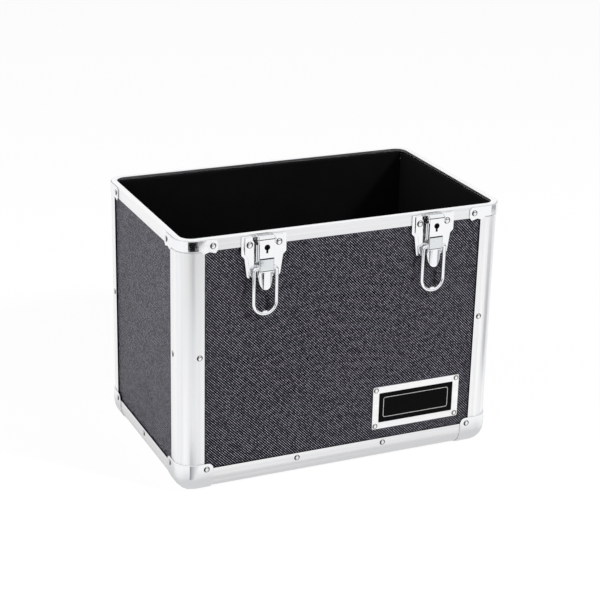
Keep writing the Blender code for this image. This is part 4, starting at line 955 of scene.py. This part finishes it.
@dataclass
class BadgePlate(SubAssembly):
    """The badge: a pressed frame on four rivets round a bare black insert with a printed line."""

    line_half_x: float = 38.25 * MM
    line_half_z: float = 11.5 * MM
    line_radius: float = 2.5 * MM
    line_width: float = 0.6 * MM
    line_rise: float = 0.04 * MM
    rivet_radius: float = 2.5 * MM
    rivet_height: float = 0.8 * MM

    def make(self) -> None:
        """Dress the badge and print its border line."""
        rolled("badge_frame", self.finishes.bright, "case", "anodised_aluminium")
        dress(self.finishes.black, "badge_insert")
        heads = [f"badge_rivet_{v}_{h}" for v in ("upper", "lower") for h in ("left", "right")]
        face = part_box("badge_frame")[0][1]
        spots = [
            (((low[0] + high[0]) / 2, face, (low[2] + high[2]) / 2), (0, -1, 0), self.rivet_radius, self.rivet_height)
            for low, high in map(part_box, heads)
        ]
        riveted("badge_rivets", spots, self.finishes, *heads)
        place(self.border(), "case", "anodised_aluminium")

    def border(self) -> bpy.types.Object:
        """A closed band with round corners, a little proud of the insert.

        The band's section is a low rectangle, carried round the outline of a rounded rectangle.
        """
        low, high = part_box("badge_insert")
        width = self.line_width
        outer = rounded_loop(self.line_half_x, self.line_half_z, self.line_radius)
        inner = rounded_loop(self.line_half_x - width, self.line_half_z - width, self.line_radius - width)
        front, back = low[1] - self.line_rise, low[1] + self.line_rise
        middle = np.array([(low[0] + high[0]) / 2, 0.0, (low[2] + high[2]) / 2])
        rings = np.stack([
            np.column_stack([loop[:, 0], np.full(len(loop), y), loop[:, 1]]) + middle
            for loop, y in ((outer, back), (outer, front), (inner, front), (inner, back))
        ])
        faces = quads(4, len(outer), wrap_rows=True, wrap_columns=True)
        return surface("badge_line", rings, faces, self.finishes.pale)


# Studio


def self_lit(name: str, level: str) -> tuple[bpy.types.Material, Adder, bpy.types.Node]:
    """A plain shade that no lamp changes: its material, the function that adds nodes, and its glow."""
    made, add = new_material(name)
    glow = add("Emission", {"Color": linear(level), "Strength": 1.0})
    add("OutputMaterial", links={"Surface": glow})
    return made, add, glow


def seen_plainly(add: Adder) -> tuple[Any, bpy.types.Node]:
    """The outputs of the light path, and a node that is 1 for a camera, glossy or transmission ray."""
    path = add("LightPath").outputs
    seen = add("Math", {"operation": "MAXIMUM"}, {0: path["Is Camera Ray"], 1: path["Is Glossy Ray"]})
    return path, add("Math", {"operation": "MAXIMUM"}, {0: seen, 1: path["Is Transmission Ray"]})


@dataclass(frozen=True)
class Card:
    """A flat card that lies on the floor round a corner of the case and shows in reflections only.

    Its turns are in degrees from straight ahead, with the near distance at each, one far distance, and the
    level at its first turn, from which it may fade to another at its last.
    """

    name: str
    corner: tuple[float, float]
    turns: tuple[float, ...]
    near: tuple[float, ...]
    far: float
    level: str
    faded: str = ""
    lift: float = 3 * MM
    steps: int = 40

    def shade(self) -> bpy.types.Material:
        """The card's shade; a radial gradient, which is a quarter straight ahead, carries the fade."""
        made, add, glow = self_lit(self.name, self.level)
        if self.faded:
            spot = add("TexCoord").outputs["Object"]
            moved = add("Mapping", {"Location": (-self.corner[0], -self.corner[1], 0.0)}, {"Vector": spot})
            turned = add("TexGradient", {"gradient_type": "RADIAL"}, {"Vector": moved}).outputs["Fac"]
            first, last = (0.25 + turn / 360.0 for turn in (self.turns[0], self.turns[-1]))
            share = add("MapRange", {"From Min": first, "From Max": last}, {"Value": turned})
            tone = add("Mix", {"data_type": "RGBA", 6: linear(self.level), 7: linear(self.faded)}, {0: share})
            made.node_tree.links.new(tone.outputs[2], glow.inputs["Color"])
        return made

    def lay(self) -> bpy.types.Object:
        """Lay the card: a point is the corner plus its distance in the direction of its turn."""
        turn = np.linspace(self.turns[0], self.turns[-1], self.steps)
        reach = np.stack([np.interp(turn, self.turns, self.near), np.full(self.steps, self.far)])
        x = self.corner[0] + reach * np.sin(np.radians(turn))
        y = self.corner[1] - reach * np.cos(np.radians(turn))
        points = np.stack([x, y, np.full(reach.shape, self.lift)], -1)
        return surface(self.name, points, quads(2, self.steps), self.shade())


@dataclass
class Studio:
    """A pale floor, a white surround, soft lights and the camera at the picture's angle."""

    focal: float = 100.18
    sensor: float = 36.0
    azimuth: float = -24.45
    elevation: float = 21.40
    roll: float = -1.39
    camera_at: tuple[float, float, float] = (-0.6908, -1.51948, 0.80365)
    lamps: tuple[tuple[str, tuple[float, float, float], float, float], ...] = (
        ("key_light", (1.45, -1.85, 1.75), 0.3, 70.0),
        ("fill_light", (-2.3, -0.3, 0.85), 1.4, 58.0),
    )
    ambient: float = 0.24
    sheet_half: float = 6.0
    sheet_color: str = "#F4F4F4"
    sheet_white: float = 0.92  # the rest of the sheet's light comes from the lamps, and shows the shadow
    sheet_glow: float = 1.02
    shade_reach: float = 50.0 * MM
    shade_level: float = 0.66
    ring_color: str = "#1A1A1C"
    ring_radii: tuple[float, float] = (2.6, 3.6)
    ring_lift: float = 2 * MM
    ring_low: float = 0.25
    ring_high: float = 0.7
    ring_steps: int = 64
    cards: tuple[Card, ...] = (
        Card("front_card", (-0.17, -0.11), (-35.0, -27.0, -26.0, 0.0, 5.0, 6.0, 21.0),
             (0.70, 0.70, 0.615, 0.55, 0.552, 0.70, 0.70), 0.95, "#1A1A1C"),
        Card("wire_card", (-0.17, -0.11), (-60.0, -38.0), (0.56, 0.56), 0.64, "#2E2C2E"),
        Card("near_card", (-0.17, -0.11), (-24.0, 25.0), (0.018, 0.018), 0.10, "#8C9094", "#F4F4F4"),
        Card("side_card", (0.17, -0.11), (56.0, 90.0), (0.2, 0.2), 0.70, "#AEB1B6"),
        Card("bracket_card", (0.17, -0.11), (54.0, 100.0), (0.80, 0.80), 0.90, "#A2A5A8"),
    )

    def make(self) -> None:
        """Set up the studio."""
        self.world()
        self.floor()
        self.dark_cards()
        self.lights()
        self.camera()

    def world(self) -> None:
        """White for the camera and in reflections, and a dimmer even light for matt surfaces."""
        world = bpy.data.worlds.new("studio")
        world.use_nodes = True
        world.node_tree.nodes.clear()
        add = partial(add_node, world.node_tree)
        _, bright = seen_plainly(add)
        strength = add("MapRange", {"To Min": self.ambient, "To Max": 1.0}, {"Value": bright})
        background = add("Background", {"Color": (1.0, 1.0, 1.0, 1.0)}, {"Strength": strength})
        add("OutputWorld", links={"Surface": background})
        bpy.context.scene.world = world

    def floor(self) -> None:
        """A plain pale floor, mostly its own white, so that only a soft shadow shows on it.

        Reflections see it darker close to the case, which hides the room's light from it. The distance from
        the case is the length of what each of x and y reaches past the case's sides.
        """
        made, add = new_material("pale_floor")
        path, bright = seen_plainly(add)
        share = add("Math", {"operation": "MULTIPLY", 1: self.sheet_white}, {0: bright})
        folded = add("VectorMath", {"operation": "ABSOLUTE"}, {0: add("TexCoord").outputs["Object"]})
        sides = (CAD_BOX[1][0], CAD_BOX[1][1], 0.0)
        past = add("VectorMath", {"operation": "SUBTRACT", 1: sides}, {0: folded})
        beyond = add("VectorMath", {"operation": "MAXIMUM", 1: (0.0, 0.0, 0.0)}, {0: past})
        away = add("VectorMath", {"operation": "LENGTH"}, {0: beyond}).outputs["Value"]
        hidden = {"interpolation_type": "SMOOTHSTEP", "From Max": self.shade_reach,
                  "To Min": 1.0 - self.shade_level, "To Max": 0.0}
        near = add("MapRange", hidden, {"Value": away})
        loss = add("Math", {"operation": "MULTIPLY"}, {0: near, 1: path["Is Glossy Ray"]})
        level = add("Math", {"operation": "SUBTRACT", 0: self.sheet_glow}, {1: loss})
        matt = add("BsdfDiffuse", {"Color": linear(self.sheet_color)})
        glow = add("Emission", {"Color": (1.0, 1.0, 1.0, 1.0)}, {"Strength": level})
        add("OutputMaterial", links={"Surface": add("MixShader", links={0: share, 1: matt, 2: glow})})
        corners = np.array([(-1.0, -1.0, 0.0), (1.0, -1.0, 0.0), (1.0, 1.0, 0.0), (-1.0, 1.0, 0.0)])
        surface("studio_floor", corners * self.sheet_half, np.array([[0, 1, 2, 3]]), made)

    def dark_cards(self) -> None:
        """The unlit room past the white sheet, and the dark and grey cards on it, which only reflections show.

        The room is a ring on the floor with a low wall: its points are a profile of radius and height, carried
        round a circle, and the wall is higher in front.
        """
        turn = np.linspace(0.0, 2 * math.pi, self.ring_steps, endpoint=False)
        radius = np.array([*self.ring_radii, self.ring_radii[1]])[:, None]
        front_share = np.clip(0.5 - np.sin(turn), 0.0, 1.0)
        wall = self.ring_low + (self.ring_high - self.ring_low) * front_share
        flat = np.full(self.ring_steps, self.ring_lift)
        ring = np.stack([radius * np.cos(turn), radius * np.sin(turn), np.stack([flat, flat, wall])], -1)
        unlit, _, _ = self_lit("unlit_room", self.ring_color)
        cards = [surface("room_ring", ring, quads(3, self.ring_steps, wrap_columns=True), unlit)]
        cards += [card.lay() for card in self.cards]
        for card in cards:
            for ray in ("camera", "diffuse", "transmission", "volume_scatter", "shadow"):
                setattr(card, f"visible_{ray}", False)

    def lights(self) -> None:
        """A key light over the right front, whose shadows fall to the left, and a soft fill from the left."""
        for name, spot, size, power in self.lamps:
            lamp = bpy.data.lights.new(name, "AREA")
            lamp.size = size
            lamp.energy = power
            made = add_object(name, lamp)
            axes = frame_of(spot)
            made.matrix_world = Matrix.Translation(spot) @ Matrix(axes.tolist()).to_4x4()
            made.visible_camera = False
            made.visible_glossy = False

    def camera(self) -> None:
        """The camera, turned by azimuth, elevation and roll about the place that it stands on."""
        a, e, r = (math.radians(turn) for turn in (self.azimuth, self.elevation, self.roll))
        back = np.array([math.sin(a) * math.cos(e), -math.cos(a) * math.cos(e), math.sin(e)])
        right = np.array([math.cos(a), math.sin(a), 0.0])
        up = np.cross(back, right)
        spin = np.array([[math.cos(r), -math.sin(r), 0.0], [math.sin(r), math.cos(r), 0.0], [0.0, 0.0, 1.0]])
        axes = (spin @ np.array([right, up, back])).T
        lens = bpy.data.cameras.new("picture_camera")
        lens.lens = self.focal
        lens.sensor_width = self.sensor
        lens.clip_start = 0.05
        made = add_object("picture_camera", lens)
        made.matrix_world = Matrix.Translation(self.camera_at) @ Matrix(axes.tolist()).to_4x4()
        bpy.context.scene.camera = made


def main() -> None:
    """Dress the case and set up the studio."""
    logging.basicConfig(level=logging.INFO, format="%(name)s: %(message)s")
    bpy.context.scene.view_settings.view_transform = "Standard"
    finishes = Finishes()
    for part in (
        ProfileFrame(finishes), LaminatedBoards(), FoamLining(finishes), CornerGuards(finishes),
        *(DrawLatch(finishes, side) for side in Side), HingeHalves(finishes), BadgePlate(finishes), Studio(),
    ):
        part.make()
    bpy.context.view_layer.update()


if __name__ == "__main__":
    main()
